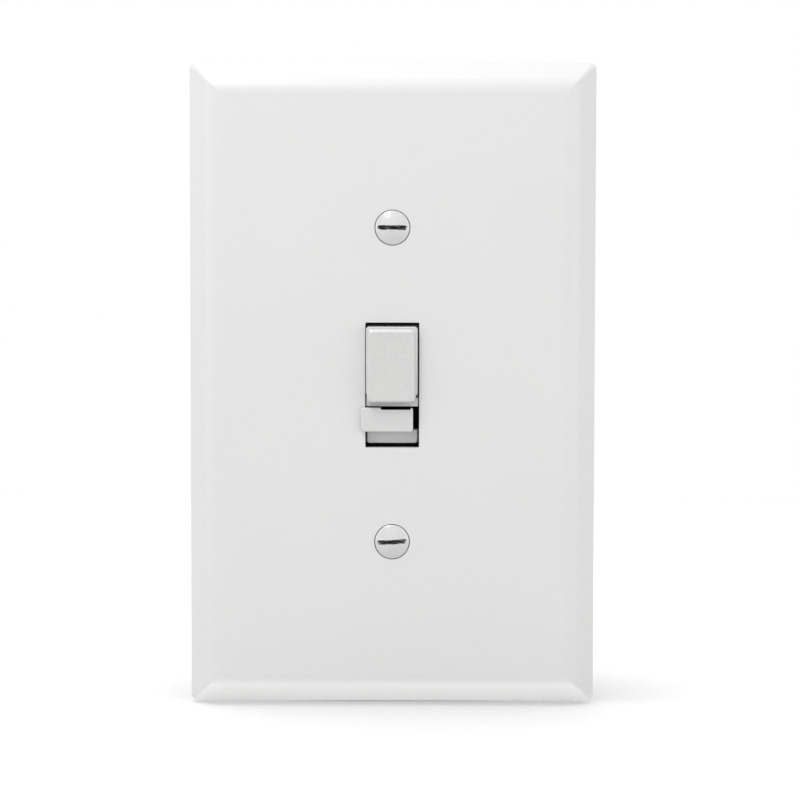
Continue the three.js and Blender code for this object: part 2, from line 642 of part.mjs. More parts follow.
function addTerminals() {
  ['line', 'load'].forEach((name, i) => {
    const z = TERMINAL_Z[i];
    const half = TERMINAL_WINDOW / 2 - FIT;
    const x1 = BODY_WIDTH / 2 - 0.6;
    const x0 = x1 - TERMINAL_REACH;
    const footY = [TERMINAL_Y - half, TERMINAL_Y - half + TERMINAL_THICKNESS];
    const across = [z - TERMINAL_HALF_WIDTH, z + TERMINAL_HALF_WIDTH];
    const face = box(
      [x1 - TERMINAL_THICKNESS, x1], [TERMINAL_Y - half, TERMINAL_Y + half], [z - half, z + half]);
    const foot = box([x0, x1 - 0.5], footY, across);
    const tongue = box([x0, x0 + TERMINAL_THICKNESS], [BOARD_BACK + 0.05, footY[1]], across);
    const hole = rod(TERMINAL_SCREW.shankRadius + 0.2, [-3, 3])
      .rotate([0, 0, 90])
      .translate([x1, TERMINAL_Y, z]);
    addPiece(`${name}_terminal`, cut(joined(face, foot, tongue), hole), BRASS, 0.3, 1);
    const screw = addPiece(`${name}_terminal_screw`, panHeadScrew(TERMINAL_SCREW),
      name === 'line' ? BRASS : STEEL, 0.3, 1);
    screw.position.set(x1 + 0.1, TERMINAL_Y, z);
    screw.rotation.z = Math.PI / 2;
  });
}

// ---- circuit board and what it carries ----

function circuitBoard() {
  return slab(roundedRect(BOARD_WIDTH, BOARD_HEIGHT, 0.8), [BOARD_FRONT, BOARD_BACK]);
}

const TRIAC = { half: 5, front: 0.35, tab: 1.65, back: 4.7, bottom: 10, shoulder: 18.8, top: 25.6 };
const LEAD = { half: 0.4, pitch: 2.54, y: [2.5, 3.1], z: [6.6, 7.2] };

function triac() {
  const across = [TRIAC_X - TRIAC.half, TRIAC_X + TRIAC.half];
  const tab = box(across, [TRIAC.front, TRIAC.tab], [TRIAC.bottom, TRIAC.top]);
  const moulding = box(across, [TRIAC.tab - 0.7, TRIAC.back], [TRIAC.bottom, TRIAC.shoulder]);
  const parts = [moulding];
  for (const i of [-1, 0, 1]) {
    const x = TRIAC_X + LEAD.pitch * i;
    const wide = [x - LEAD.half, x + LEAD.half];
    parts.push(box(wide, LEAD.y, [LEAD.z[0], TRIAC.bottom + EPS]));
    parts.push(box(wide, [LEAD.y[0], BOARD_FRONT], LEAD.z));
  }
  return cut(joined(tab, ...parts),
    rod(RIVET_HOLE_RADIUS + 0.2, [0, 3], [TRIAC_X, TRIAC_HOLE_Z]));
}

function addHeatSinking() {
  addPiece('triac', triac(), BLACK, 0.5);
  const pad = cut(
    box([TRIAC_X - TRIAC.half - 0.4, TRIAC_X + TRIAC.half + 0.4], [0, 0.3],
      [TRIAC.bottom - 0.6, TRIAC.top + 0.8]),
    rod(RIVET_HOLE_RADIUS + 0.2, [-1, 1], [TRIAC_X, TRIAC_HOLE_Z]));
  addPiece('thermal_pad', pad, PAD_GREY, 0.8);
  const front = -STRAP_THICKNESS;
  const back = TRIAC.tab + 0.1;
  const rivet = turned([[0, front - 0.9], [1.6, front - 0.9], [2.6, front - 0.4], [2.6, front],
    [1.5, front], [1.5, back], [2.8, back], [2.8, back + 0.6], [0, back + 0.6]]);
  addPiece('triac_rivet', rivet.translate([TRIAC_X, 0, TRIAC_HOLE_Z]), STEEL, 0.35, 1);
}

const CHOKE = { x: -7, z: 15, y: BOARD_BACK + 0.3 + 5.5, radius: 6.6, core: 2.3, winding: 3.4 };

function chokeCore() {
  const { x, z, y, radius, core } = CHOKE;
  const torus = new THREE.TorusGeometry(radius, core, 8);
  torus.rotateX(Math.PI / 2);
  torus.translate(x, y, z);
  return toSolid(torus);
}

class RingArc extends THREE.Curve {
  constructor(radius, from, to) {
    super();
    Object.assign(this, { radius, from, to });
  }

  getPoint(t) {
    const angle = this.from + t * (this.to - this.from);
    return new THREE.Vector3(this.radius * Math.cos(angle), 0, this.radius * Math.sin(angle));
  }
}

// The winding is a sleeve of copper round most of the core.
function chokeWinding() {
  const { x, z, y, radius, core, winding } = CHOKE;
  const section = new THREE.Shape().absarc(0, 0, winding, 0, 2 * Math.PI, false);
  section.holes.push(new THREE.Path().absarc(0, 0, core + FIT, 0, 2 * Math.PI, false));
  const geometry = new THREE.ExtrudeGeometry(section, {
    steps: 18,
    curveSegments: 5,
    bevelEnabled: false,
    extrudePath: new RingArc(radius, 0.35, 2 * Math.PI - 0.35),
  });
  geometry.translate(x, y, z);
  return toSolid(geometry);
}

const FUSE = { radius: 2.5, length: 12, x: -8, z: -23 };
const RESISTOR = { radius: 1.3, length: 6.8, x: 9, z: [5, 9] };

// A rod along X that lies on the board.
function lyingRod({ radius, length, x }, z, lift) {
  return rod(radius, [-length / 2, length / 2])
    .rotate([0, 0, 90])
    .translate([x, BOARD_BACK + radius + lift, z]);
}

function onBoard(shape, height, lift = 0) {
  return slab(shape, [BOARD_BACK + lift, BOARD_BACK + height]);
}

function addBoardParts() {
  addPiece('circuit_board', circuitBoard(), BOARD_GREEN, 0.5);
  addPiece('choke_core', chokeCore(), FERRITE, 0.7);
  addPiece('choke_winding', chokeWinding(), COPPER, 0.35, 0.8);
  addPiece('film_capacitor', onBoard(roundedRect(18, 8, 0.8, [-6, -6]), 13), FILM_YELLOW, 0.5);
  addPiece('electrolytic_capacitor',
    rod(4, [BOARD_BACK, BOARD_BACK + 12], [6.5, -17.5]), SLEEVE_BLACK, 0.4);
  addPiece('varistor', onBoard(roundedRect(10, 4, 1.9, [-8, -17]), 12, 0.5), EPOXY_BLUE, 0.5);
  addPiece('fuse', lyingRod(FUSE, FUSE.z, 0.3), CERAMIC, 0.3);
  addPiece('control_chip', onBoard(roundedRect(7.5, 10, 0.3, [9, -4]), 2.4), BLACK, 0.5);
  for (const [i, z] of RESISTOR.z.entries()) {
    addPiece(`resistor_${i + 1}`, lyingRod(RESISTOR, z, 0.2), LACQUER_TAN, 0.6);
  }
}

// ---- the whole control ----

addPiece('wall_plate', wallPlate(), WHITE, 0.25);
addPlateScrews();
addPiece('mounting_strap', mountingStrap(), BLACK, 0.5, 0.6);
addBoxScrews();
addEarthScrew();
addPiece('front_cover', frontCover(), BLACK, 0.5);
addPiece('nose_bezel', noseBezel(), WHITE, 0.4);
addPiece('push_button', pushButton(), WHITE, 0.5);
addPiece('button_spring', buttonSpring(), STEEL, 0.3, 1);
addTactSwitch();
addPiece('slide_tab', slideTab(), WHITE, 0.4);
addPiece('slide_carrier', slideCarrier(), NYLON, 0.5);
addPiece('contact_bridge', contactBridge(), BRASS, 0.3, 1);
addPiece('cutoff_contact_line', fixedContact(-7, -5.6), BRASS, 0.3, 1);
addPiece('cutoff_contact_load', fixedContact(3.2, 5.4), BRASS, 0.3, 1);
addPiece('rear_housing', rearHousing(), HOUSING_GREY, 0.5);
addHousingScrews();
addTerminals();
addHeatSinking();
addBoardParts();

export default group;
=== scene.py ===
"""White wall plate over its push-button wall control, standing on a pale floor.

Lengths are millimetres in the part's frame (X right, Y into the wall, Z up) until a mesh is
made. MM turns them into metres.
"""

import math

import bmesh
import bpy
from mathutils import Euler, Matrix, Vector


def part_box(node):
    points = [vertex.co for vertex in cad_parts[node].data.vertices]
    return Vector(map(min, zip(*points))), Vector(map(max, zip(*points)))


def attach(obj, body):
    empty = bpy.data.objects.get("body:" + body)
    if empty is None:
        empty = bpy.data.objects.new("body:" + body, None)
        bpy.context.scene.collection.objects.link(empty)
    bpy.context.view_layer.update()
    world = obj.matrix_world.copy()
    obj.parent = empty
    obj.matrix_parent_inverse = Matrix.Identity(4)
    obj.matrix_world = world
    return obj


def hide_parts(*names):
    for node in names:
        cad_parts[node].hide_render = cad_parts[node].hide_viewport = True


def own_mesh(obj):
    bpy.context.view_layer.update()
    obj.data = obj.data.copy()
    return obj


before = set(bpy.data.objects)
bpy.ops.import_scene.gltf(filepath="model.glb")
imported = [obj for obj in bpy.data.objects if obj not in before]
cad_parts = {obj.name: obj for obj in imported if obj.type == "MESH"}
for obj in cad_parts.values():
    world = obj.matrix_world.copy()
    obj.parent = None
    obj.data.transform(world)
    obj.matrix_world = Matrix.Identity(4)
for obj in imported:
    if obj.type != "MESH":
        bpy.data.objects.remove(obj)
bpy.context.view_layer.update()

MM = 0.001
TAU = 2 * math.pi


class Limits:
    """Where a CAD node reaches at rest, in millimetres."""

    def __init__(self, node):
        low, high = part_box(node)
        self.x0, self.y0, self.z0 = (v / MM for v in low)
        self.x1, self.y1, self.z1 = (v / MM for v in high)
        self.x = (self.x0 + self.x1) / 2
        self.y = (self.y0 + self.y1) / 2
        self.z = (self.z0 + self.z1) / 2
        self.width = self.x1 - self.x0
        self.depth = self.y1 - self.y0
        self.height = self.z1 - self.z0


PLATE = Limits("wall_plate")
BUTTON = Limits("push_button")
TAB = Limits("slide_tab")
BEZEL = Limits("nose_bezel")
STRAP = Limits("mounting_strap")
COVER = Limits("front_cover")
HOUSING = Limits("rear_housing")
HOUSING_SCREWS = [Limits(f"housing_screw_{i}") for i in range(1, 5)]
HOUSING_WALL = 1.8
SCREW_CLEARANCE = 1.4
RIVET_HOLE = 1.9
BARB_SLOT_HALF = 1.5
BARB_SLOTS_Z = ((7.95, 10.05), (-0.75, 1.35))
LEG_EDGE = -37
LEG_SPAN = (-20, -10)

OPENING_WIDTH = 10.3
OPENING_HEIGHT = 24.0


# ---- camera and light: spots and sizes of lights and floor are in metres ----

FLOOR_HALF = 0.4
FLOOR_GAP = 0.35  # millimetres between the floor and the plate
OVERHEAD_SPOT = (-0.15, 0.10, 1.0)
OVERHEAD_SIZE = 0.8
CAMERA_SPOT = (5.45, -500, 27.4)  # millimetres
CAMERA_PITCH, CAMERA_YAW, CAMERA_ROLL = -3.499, -0.458, 0.092  # degrees
SENSOR_WIDTH, LENS = 36, 116.2  # millimetres


def add_camera():
    data = bpy.data.cameras.new("camera")
    data.sensor_width = SENSOR_WIDTH
    data.lens = LENS
    data.clip_start = 0.01
    camera = bpy.data.objects.new("camera", data)
    camera.location = Vector(CAMERA_SPOT) * MM
    pitch = math.radians(CAMERA_PITCH)
    yaw = math.radians(CAMERA_YAW)
    roll = math.radians(CAMERA_ROLL)
    look = Euler((math.pi / 2 + pitch, 0, -yaw), "XYZ").to_matrix()
    camera.matrix_world = Matrix.Translation(camera.location) @ (
        look @ Matrix.Rotation(roll, 3, "Z")
    ).to_4x4()
    bpy.context.scene.collection.objects.link(camera)
    bpy.context.scene.camera = camera


def add_area_light(name, spot, target, size, watts, only=(), all_block=False):
    """A soft round light. only names the objects it lights, and that block it unless all do."""
    data = bpy.data.lights.new(name, "AREA")
    data.shape = "DISK"
    data.size = size
    data.energy = watts
    light = bpy.data.objects.new(name, data)
    light.location = spot
    light.rotation_euler = (Vector(target) - Vector(spot)).to_track_quat("-Z", "Y").to_euler()
    bpy.context.scene.collection.objects.link(light)
    if only:
        group = bpy.data.collections.new(name + "_reach")
        for obj in only:
            group.objects.link(obj)
        light.light_linking.receiver_collection = group
        if not all_block:
            light.light_linking.blocker_collection = group


def add_world():
    world = bpy.data.worlds.new("studio")
    world.use_nodes = True
    background = world.node_tree.nodes["Background"]
    background.inputs["Color"].default_value = (1, 1, 1, 1)
    background.inputs["Strength"].default_value = 1.0
    bpy.context.scene.world = world
    bpy.context.scene.view_settings.view_transform = "Standard"


def add_floor():
    half, gap = FLOOR_HALF, FLOOR_GAP
    mesh = bpy.data.meshes.new("floor")
    corners = [(-half, -half), (half, -half), (half, half), (-half, half)]
    mesh.from_pydata([(x, y, (PLATE.z0 - gap) * MM) for x, y in corners], [], [(0, 1, 2, 3)])
    floor = bpy.data.objects.new("floor", mesh)
    bpy.context.scene.collection.objects.link(floor)
    mesh.materials.append(
        surface("floor_sheet", (0.82, 0.82, 0.82), 0.9, tone=0.01, tone_mm=60))


# ---- materials ----

class Nodes:
    """Small wrapper that adds and links shader nodes."""

    def __init__(self, name):
        self.material = bpy.data.materials.new(name)
        self.material.use_nodes = True
        self.tree = self.material.node_tree
        self.shader = self.tree.nodes["Principled BSDF"]
        self.place = self.add("ShaderNodeTexCoord").outputs["Object"]

    def add(self, kind, **values):
        node = self.tree.nodes.new(kind)
        for key, value in values.items():
            setattr(node, key, value)
        return node

    def link(self, source, target):
        self.tree.links.new(source, target)

    def noise(self, size_mm, detail=3, stretch=(1, 1, 1), roughness=0.55):
        mapping = self.add("ShaderNodeMapping")
        mapping.inputs["Scale"].default_value = stretch
        noise = self.add("ShaderNodeTexNoise")
        noise.inputs["Scale"].default_value = 1 / (size_mm * MM)
        noise.inputs["Detail"].default_value = detail
        noise.inputs["Roughness"].default_value = roughness
        self.link(self.place, mapping.inputs["Vector"])
        self.link(mapping.outputs["Vector"], noise.inputs["Vector"])
        return noise.outputs["Fac"]

    def remap(self, value, low, high, start=0.25, end=0.75):
        ranged = self.add("ShaderNodeMapRange")
        ranged.inputs["From Min"].default_value = start
        ranged.inputs["From Max"].default_value = end
        ranged.inputs["To Min"].default_value = low
        ranged.inputs["To Max"].default_value = high
        self.link(value, ranged.inputs["Value"])
        return ranged.outputs["Result"]

    def mix(self, factor, first, second):
        mixed = self.add("ShaderNodeMix", data_type="RGBA")
        self.link(factor, mixed.inputs["Factor"])
        for socket, colour in ((mixed.inputs[6], first), (mixed.inputs[7], second)):
            if isinstance(colour, bpy.types.NodeSocket):
                self.link(colour, socket)
            else:
                socket.default_value = (*colour, 1)
        return mixed.outputs[2]

    def bump(self, height, depth_mm, after=None):
        bump = self.add("ShaderNodeBump")
        bump.inputs["Distance"].default_value = depth_mm * MM
        self.link(height, bump.inputs["Height"])
        if after is not None:
            self.link(after, bump.inputs["Normal"])
        return bump.outputs["Normal"]


def shade(colour, factor):
    return tuple(max(0.0, min(1.0, c * factor)) for c in colour)


def surface(name, colour, roughness, metallic=0.0, tone=0.04, tone_mm=9, rough_spread=0.05,
            rough_mm=3, grain_mm=0.3, grain_depth=0.003, stretch=(1, 1, 1), coat=0.0,
            specular=0.5, ripple_mm=0, ripple_depth=0.0):
    """A finish with slow colour drift, uneven gloss and a fine grain at real scale."""
    nodes = Nodes(name)
    shader = nodes.shader
    shader.inputs["Metallic"].default_value = metallic
    shader.inputs["Coat Weight"].default_value = coat
    shader.inputs["Coat Roughness"].default_value = 0.12
    shader.inputs["Specular IOR Level"].default_value = specular
    drift = nodes.remap(nodes.noise(tone_mm), 0, 1)
    nodes.link(nodes.mix(drift, shade(colour, 1 - tone), shade(colour, 1 + tone)),
               shader.inputs["Base Color"])
    gloss = nodes.noise(rough_mm, 4, stretch)
    nodes.link(nodes.remap(gloss, roughness - rough_spread, roughness + rough_spread),
               shader.inputs["Roughness"])
    normal = nodes.bump(nodes.noise(grain_mm, 2, stretch), grain_depth)
    if ripple_mm:
        normal = nodes.bump(nodes.noise(ripple_mm, 1), ripple_depth, normal)
    nodes.link(normal, shader.inputs["Normal"])
    return nodes.material


def streaked_metal(name, dark, middle, pale):
    """Worn screw slot: bare metal with long streaks, still painted towards its ends; the dark
    values passed in add painted shade for the deep slot.
    """
    nodes = Nodes(name)
    shader = nodes.shader
    streaks = nodes.noise(0.3, 4, (0.2, 1, 1), 0.7)
    patches = nodes.noise(1.4, 2, (0.6, 1, 1))
    ground = nodes.mix(nodes.remap(patches, 0, 1, 0.4, 0.65), (dark,) * 3, (middle,) * 3)
    worn = nodes.mix(nodes.remap(streaks, 0, 1, 0.5, 0.64), ground, (pale,) * 3)
    split = nodes.add("ShaderNodeSeparateXYZ")
    nodes.link(nodes.place, split.inputs[0])
    across = nodes.add("ShaderNodeMath", operation="ABSOLUTE")
    nodes.link(split.outputs[0], across.inputs[0])
    reach = nodes.add("ShaderNodeMath", operation="ADD")
    nodes.link(across.outputs[0], reach.inputs[0])
    nodes.link(nodes.remap(nodes.noise(0.5, 3, (0.5, 1, 1)), -0.4 * MM, 0.4 * MM), reach.inputs[1])
    painted = nodes.remap(reach.outputs[0], 0, 1, 2.45 * MM, 2.85 * MM)
    nodes.link(nodes.mix(painted, worn, (0.50, 0.50, 0.497)), shader.inputs["Base Color"])
    nodes.link(nodes.remap(painted, 0.6, 0, 0, 1), shader.inputs["Metallic"])
    nodes.link(nodes.remap(streaks, 0.35, 0.65), shader.inputs["Roughness"])
    nodes.link(nodes.bump(streaks, 0.03), shader.inputs["Normal"])
    return nodes.material


# What each finish passes to surface(). Most are named after the slot that they are shown on.
FINISH_VALUES = {
    "plate_white": dict(
        colour=(0.542, 0.542, 0.54), roughness=0.42, tone=0.006, tone_mm=22, rough_spread=0.03,
        rough_mm=7, grain_mm=0.35, grain_depth=0.0006, ripple_mm=9, ripple_depth=0.004,
        specular=0.45),
    "control_white": dict(
        colour=(0.472, 0.472, 0.469), roughness=0.3, tone=0.04, tone_mm=0.6, rough_mm=0.8,
        grain_mm=0.5, grain_depth=0.009, specular=0.9),
    "tab_white": dict(
        colour=(0.51, 0.51, 0.507), roughness=0.3, tone=0.02, tone_mm=1.5, rough_mm=2,
        grain_mm=0.3, grain_depth=0.0015),
    "painted_screw": dict(
        colour=(0.5, 0.5, 0.498), roughness=0.22, tone=0.03, tone_mm=0.8, rough_mm=0.6,
        grain_mm=0.5, grain_depth=0.006, specular=0.9),
    # Black strap, pushed near-black with a damped sheen: partly its own black finish, partly
    # painted shade for the gaps round the controls.
    "strap_black": dict(
        colour=(0.005, 0.005, 0.0054), roughness=0.5, specular=0.10, tone=0.2, tone_mm=5,
        grain_mm=0.2, grain_depth=0.004),
    "zinc_steel": dict(
        colour=(0.62, 0.64, 0.66), roughness=0.32, metallic=1, tone=0.08, tone_mm=2.5,
        grain_mm=0.3, grain_depth=0.003, rough_spread=0.1),
    "spring_steel": dict(
        colour=(0.56, 0.56, 0.58), roughness=0.22, metallic=1, tone=0.06, grain_mm=0.08),
    "brass": dict(
        colour=(0.72, 0.50, 0.20), roughness=0.28, metallic=1, tone=0.09, tone_mm=3,
        rough_spread=0.09, stretch=(1, 1, 12), grain_mm=0.4, grain_depth=0.002),
    "nickel": dict(
        colour=(0.66, 0.64, 0.60), roughness=0.22, metallic=1, tone=0.06, tone_mm=3,
        rough_spread=0.08),
    "earth_green": dict(
        colour=(0.05, 0.30, 0.12), roughness=0.35, metallic=0.7, tone=0.15, tone_mm=1.5,
        rough_spread=0.1),
    "fibre": dict(
        colour=(0.38, 0.21, 0.10), roughness=0.85, tone=0.18, tone_mm=0.7, grain_mm=0.15,
        grain_depth=0.02),
    "housing_black": dict(
        colour=(0.008, 0.008, 0.009), roughness=0.5, specular=0.22, tone=0.12, tone_mm=6,
        grain_mm=0.25, grain_depth=0.01, rough_spread=0.09),
    "board": dict(
        colour=(0.02, 0.16, 0.07), roughness=0.35, tone=0.15, tone_mm=2, grain_mm=0.6,
        grain_depth=0.006),
    "ferrite": dict(colour=(0.05, 0.05, 0.055), roughness=0.6, tone=0.15, tone_mm=1),
    "copper": dict(
        colour=(0.62, 0.24, 0.10), roughness=0.25, metallic=1, tone=0.1, tone_mm=2, coat=0.4),
    "film_yellow": dict(colour=(0.60, 0.40, 0.08), roughness=0.4, tone=0.05, tone_mm=4),
    "can_black": dict(colour=(0.03, 0.035, 0.05), roughness=0.35, tone=0.1, tone_mm=3),
    "varistor_blue": dict(
        colour=(0.03, 0.12, 0.42), roughness=0.3, tone=0.1, tone_mm=2, ripple_mm=2,
        ripple_depth=0.03),
    "ceramic": dict(colour=(0.70, 0.70, 0.66), roughness=0.3, tone=0.04, tone_mm=2),
    "resistor_tan": dict(colour=(0.55, 0.38, 0.20), roughness=0.5, tone=0.06, tone_mm=1),
    "package_black": dict(
        colour=(0.015, 0.015, 0.016), roughness=0.55, tone=0.1, tone_mm=2, grain_mm=0.1,
        grain_depth=0.006),
    "thermal_grey": dict(colour=(0.30, 0.35, 0.40), roughness=0.8, tone=0.08, tone_mm=1),
    "inner_plastic": dict(colour=(0.66, 0.63, 0.55), roughness=0.5, tone=0.05, tone_mm=3),
    # The front cover's copy of housing_black, darker and duller as painted shade for the gaps round
    # the controls.
    "cover_black_painted_shade": dict(
        colour=(0.004, 0.004, 0.0045), roughness=0.55, specular=0.08, tone=0.12, tone_mm=6,
        grain_mm=0.25, grain_depth=0.01),
    # Bare steel under the screw heads, made this dark as painted shade for the ring gap round each
    # head.
    "cone_steel_painted_shade": dict(
        colour=(0.12, 0.12, 0.125), roughness=0.45, metallic=0.8, tone=0.2, tone_mm=0.4,
        rough_spread=0.12),
    "solder": dict(
        colour=(0.60, 0.60, 0.62), roughness=0.3, metallic=1, tone=0.12, tone_mm=0.5,
        rough_spread=0.12),
    "sleeve_grey": dict(colour=(0.45, 0.46, 0.50), roughness=0.35, tone=0.05, tone_mm=2),
    "band_brown": dict(colour=(0.12, 0.045, 0.02), roughness=0.4, tone=0.1, tone_mm=0.5),
    "band_red": dict(colour=(0.50, 0.04, 0.02), roughness=0.4, tone=0.1, tone_mm=0.5),
}
FINISH = {name: surface(name, **values) for name, values in FINISH_VALUES.items()}
# Two copies of the worn slot finish: the floor's near-black is painted shade of the deep slot, and
# the lighter lip copy is painted half-shade.
FINISH["slot_wear_and_shade"] = streaked_metal("slot_wear_and_shade", 0.002, 0.02, 0.25)
FINISH["slot_lip_wear_and_half_shade"] = streaked_metal("slot_lip_wear_and_half_shade", 0.05, 0.22, 0.45)


# ---- mesh making ----

def solid_from_rings(rings):
    """A closed mesh: skins point rings of equal length and caps the two end rings."""
    bm = bmesh.new()
    rows = [[bm.verts.new(p) for p in ring] for ring in rings]
    count = len(rows[0])
    for low, high in zip(rows, rows[1:]):
        for i in range(count):
            j = (i + 1) % count
            bm.faces.new((low[i], low[j], high[j], high[i]))
    bm.faces.new(list(reversed(rows[0])))
    bm.faces.new(rows[-1])
    bmesh.ops.recalc_face_normals(bm, faces=bm.faces)
    return bm


def rounded_ring(width, height, radius, depth, corner_steps=6, centre=(0, 0)):
    """Points of a rounded rectangle in the XZ plane at y = depth."""
    points = []
    for turn, (i, j) in enumerate(((1, -1), (1, 1), (-1, 1), (-1, -1))):
        cx = centre[0] + i * (width / 2 - radius)
        cz = centre[1] + j * (height / 2 - radius)
        for step in range(corner_steps + 1):
            angle = TAU * (turn - 1 + step / corner_steps) / 4
            points.append((cx + radius * math.cos(angle), depth, cz + radius * math.sin(angle)))
    return points


def rounded_block(width, height, radius, y0, y1, edge=0.3, steps=4, corner_steps=6,
                  centre=(0, 0), back_edge=None):
    """A rounded rectangle running from y0 to y1 with rolled edges at both ends."""
    back = edge if back_edge is None else back_edge
    rings = []
    for side, depth, roll in ((1, y0, edge), (-1, y1, back)):
        turns = range(steps + 1) if side == 1 else range(steps, -1, -1)
        for step in turns:
            angle = math.pi / 2 * step / steps
            inset = roll * (1 - math.sin(angle))
            y = depth + side * roll * (1 - math.cos(angle))
            rings.append(rounded_ring(
                width - 2 * inset, height - 2 * inset, max(radius - inset, 0.02), y,
                corner_steps, centre))
    return solid_from_rings(rings)


def filled_block(cad, radius, edge, steps):
    """A rounded block that fills a node's limits."""
    return rounded_block(cad.width, cad.height, radius, cad.y0, cad.y1, edge, steps,
                         centre=(cad.x, cad.z))


def box_mesh(x, y, z):
    bm = bmesh.new()
    bmesh.ops.create_cube(bm, size=1)
    bmesh.ops.scale(bm, vec=(x[1] - x[0], y[1] - y[0], z[1] - z[0]), verts=bm.verts)
    bmesh.ops.translate(
        bm, vec=((x[0] + x[1]) / 2, (y[0] + y[1]) / 2, (z[0] + z[1]) / 2), verts=bm.verts)
    return bm


def turned(profile, segments=64, centre=(0, 0), twist=None):
    """Revolves (radius, y) points about the Y axis. twist(angle, row) may add to the radius."""
    rings = []
    for row, (radius, y) in enumerate(profile):
        ring = []
        for i in range(segments):
            angle = TAU * i / segments
            r = radius + (twist(angle, row) if twist else 0)
            ring.append((centre[0] + r * math.sin(angle), y, centre[1] + r * math.cos(angle)))
        rings.append(ring)
    return solid_from_rings(rings)


def rod(radius, y0, y1, centre=(0, 0), segments=32):
    return turned([(radius, y0), (radius, y1)], segments, centre)


def bevelled_box(x, y, z, roll=0.15, steps=2):
    bm = box_mesh(x, y, z)
    bmesh.ops.bevel(bm, geom=bm.edges[:], offset=roll, segments=steps, profile=0.5,
                    affect="EDGES")
    return bm


def tube(points, radius, sides=10, taper=1.0):
    """A round wire through a list of points, with closed ends."""
    path = [Vector(p) for p in points]
    rings = []
    side = None
    for i, here in enumerate(path):
        ahead = (path[min(i + 1, len(path) - 1)] - path[max(i - 1, 0)]).normalized()
        if side is None:
            side = ahead.orthogonal().normalized()
        side = (side - ahead * side.dot(ahead)).normalized()
        other = ahead.cross(side)
        r = radius * (taper if i in (0, len(path) - 1) else 1)
        rings.append([
            here + r * (math.cos(TAU * k / sides) * side + math.sin(TAU * k / sides) * other)
            for k in range(sides)])
    return solid_from_rings(rings)


def paint(bm, index):
    for face in bm.faces:
        face.material_index = index
    return bm


def gather(*meshes):
    """Puts separate closed bodies into one mesh."""
    whole = bmesh.new()
    for bm in meshes:
        mesh = bpy.data.meshes.new("part")
        bm.to_mesh(mesh)
        bm.free()
        whole.from_mesh(mesh)
        bpy.data.meshes.remove(mesh)
    return whole


def place(obj, matrix):
    """Moves a mesh by a matrix whose shift is in millimetres."""
    shift = Matrix.Translation(matrix.to_translation() * MM)
    obj.data.transform(shift @ matrix.to_3x3().to_4x4())


def at(x, y, z, angle=0.0, axis="X"):
    return Matrix.Translation((x, y, z)) @ Matrix.Rotation(math.radians(angle), 4, axis)


def to_object(name, bm):
    """Makes an object from a mesh drawn in millimetres."""
    bmesh.ops.scale(bm, vec=(MM, MM, MM), verts=bm.verts)
    mesh = bpy.data.meshes.new(name)
    bm.to_mesh(mesh)
    bm.free()
    obj = bpy.data.objects.new(name, mesh)
    bpy.context.scene.collection.objects.link(obj)
    return obj


def apply_modifiers(obj):
    graph = bpy.context.evaluated_depsgraph_get()
    mesh = bpy.data.meshes.new_from_object(obj.evaluated_get(graph))
    old = obj.data
    obj.modifiers.clear()
    obj.data = mesh
    bpy.data.meshes.remove(old)


def combine(obj, operation, meshes, matrix=None):
    """One boolean for each mesh. matrix moves the mesh first."""
    for bm in meshes:
        other = to_object("cutter", bm)
        if matrix is not None:
            place(other, matrix)
        modifier = obj.modifiers.new("combine", "BOOLEAN")
        modifier.operation = operation
        modifier.solver = "EXACT"
        modifier.object = other
        apply_modifiers(obj)
        mesh = other.data
        bpy.data.objects.remove(other)
        bpy.data.meshes.remove(mesh)


def join(obj, *meshes):
    combine(obj, "UNION", meshes)


def cut(obj, *meshes, matrix=None):
    combine(obj, "DIFFERENCE", meshes, matrix)


def soften(obj, width, segments=3, angle=35):
    modifier = obj.modifiers.new("soften", "BEVEL")
    modifier.width = width * MM
    modifier.segments = segments
    modifier.limit_method = "ANGLE"
    modifier.angle_limit = math.radians(angle)
    apply_modifiers(obj)


def smooth(obj, angle=35):
    mesh = obj.data
    mesh.polygons.foreach_set("use_smooth", [True] * len(mesh.polygons))
    mesh.set_sharp_from_angle(angle=math.radians(angle))
    modifier = obj.modifiers.new("even_normals", "WEIGHTED_NORMAL")
    modifier.keep_sharp = True


def add_piece(obj, slot, nodes, angle=35, extra=(), finish=None, body="control"):
    """Gives a finished mesh its body and finishes, and hides the CAD nodes that it stands for."""
    picked = [p.material_index for p in obj.data.polygons]
    obj.data.materials.clear()
    for name in (finish or slot, *extra):
        obj.data.materials.append(FINISH[name])
    obj.data.polygons.foreach_set("material_index", picked)
    smooth(obj, angle)
    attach(obj, body)
    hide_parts(*nodes)
    return obj


# ---- wall plate ----

HEAD_SLOPE = math.tan(math.radians(41))
SEAT_SINK = 0.9
SEAT_MOUTH = 3.42
RIM_DEPTH = 1.2
CROWN_RADIUS = 4.8
PLATE_WALL = 2.2
EDGE_STEPS = 10


def crown_rings(width, height, rim, depth, radius, corner, back, edge):
    """Rings of the dished plate from its back edge, round the rim and up to the flat face."""
    bevel = depth - rim - radius * (1 - math.cos(math.pi / 4))
    profile = [(0, -back), (0, rim - edge)]
    for step in range(1, 5):
        angle = math.pi / 4 * step / 4
        profile.append((edge * (1 - math.cos(angle)), rim - edge + edge * math.sin(angle)))
    for step in range(EDGE_STEPS + 1):
        angle = math.pi / 4 * (1 - step / EDGE_STEPS)
        profile.append((
            bevel + radius * (math.sin(math.pi / 4) - math.sin(angle)),
            depth - radius * (1 - math.cos(angle))))
    return [
        rounded_ring(width - 2 * inset, height - 2 * inset, max(corner - inset, 0.3), -rise, 5)
        for inset, rise in profile
    ]


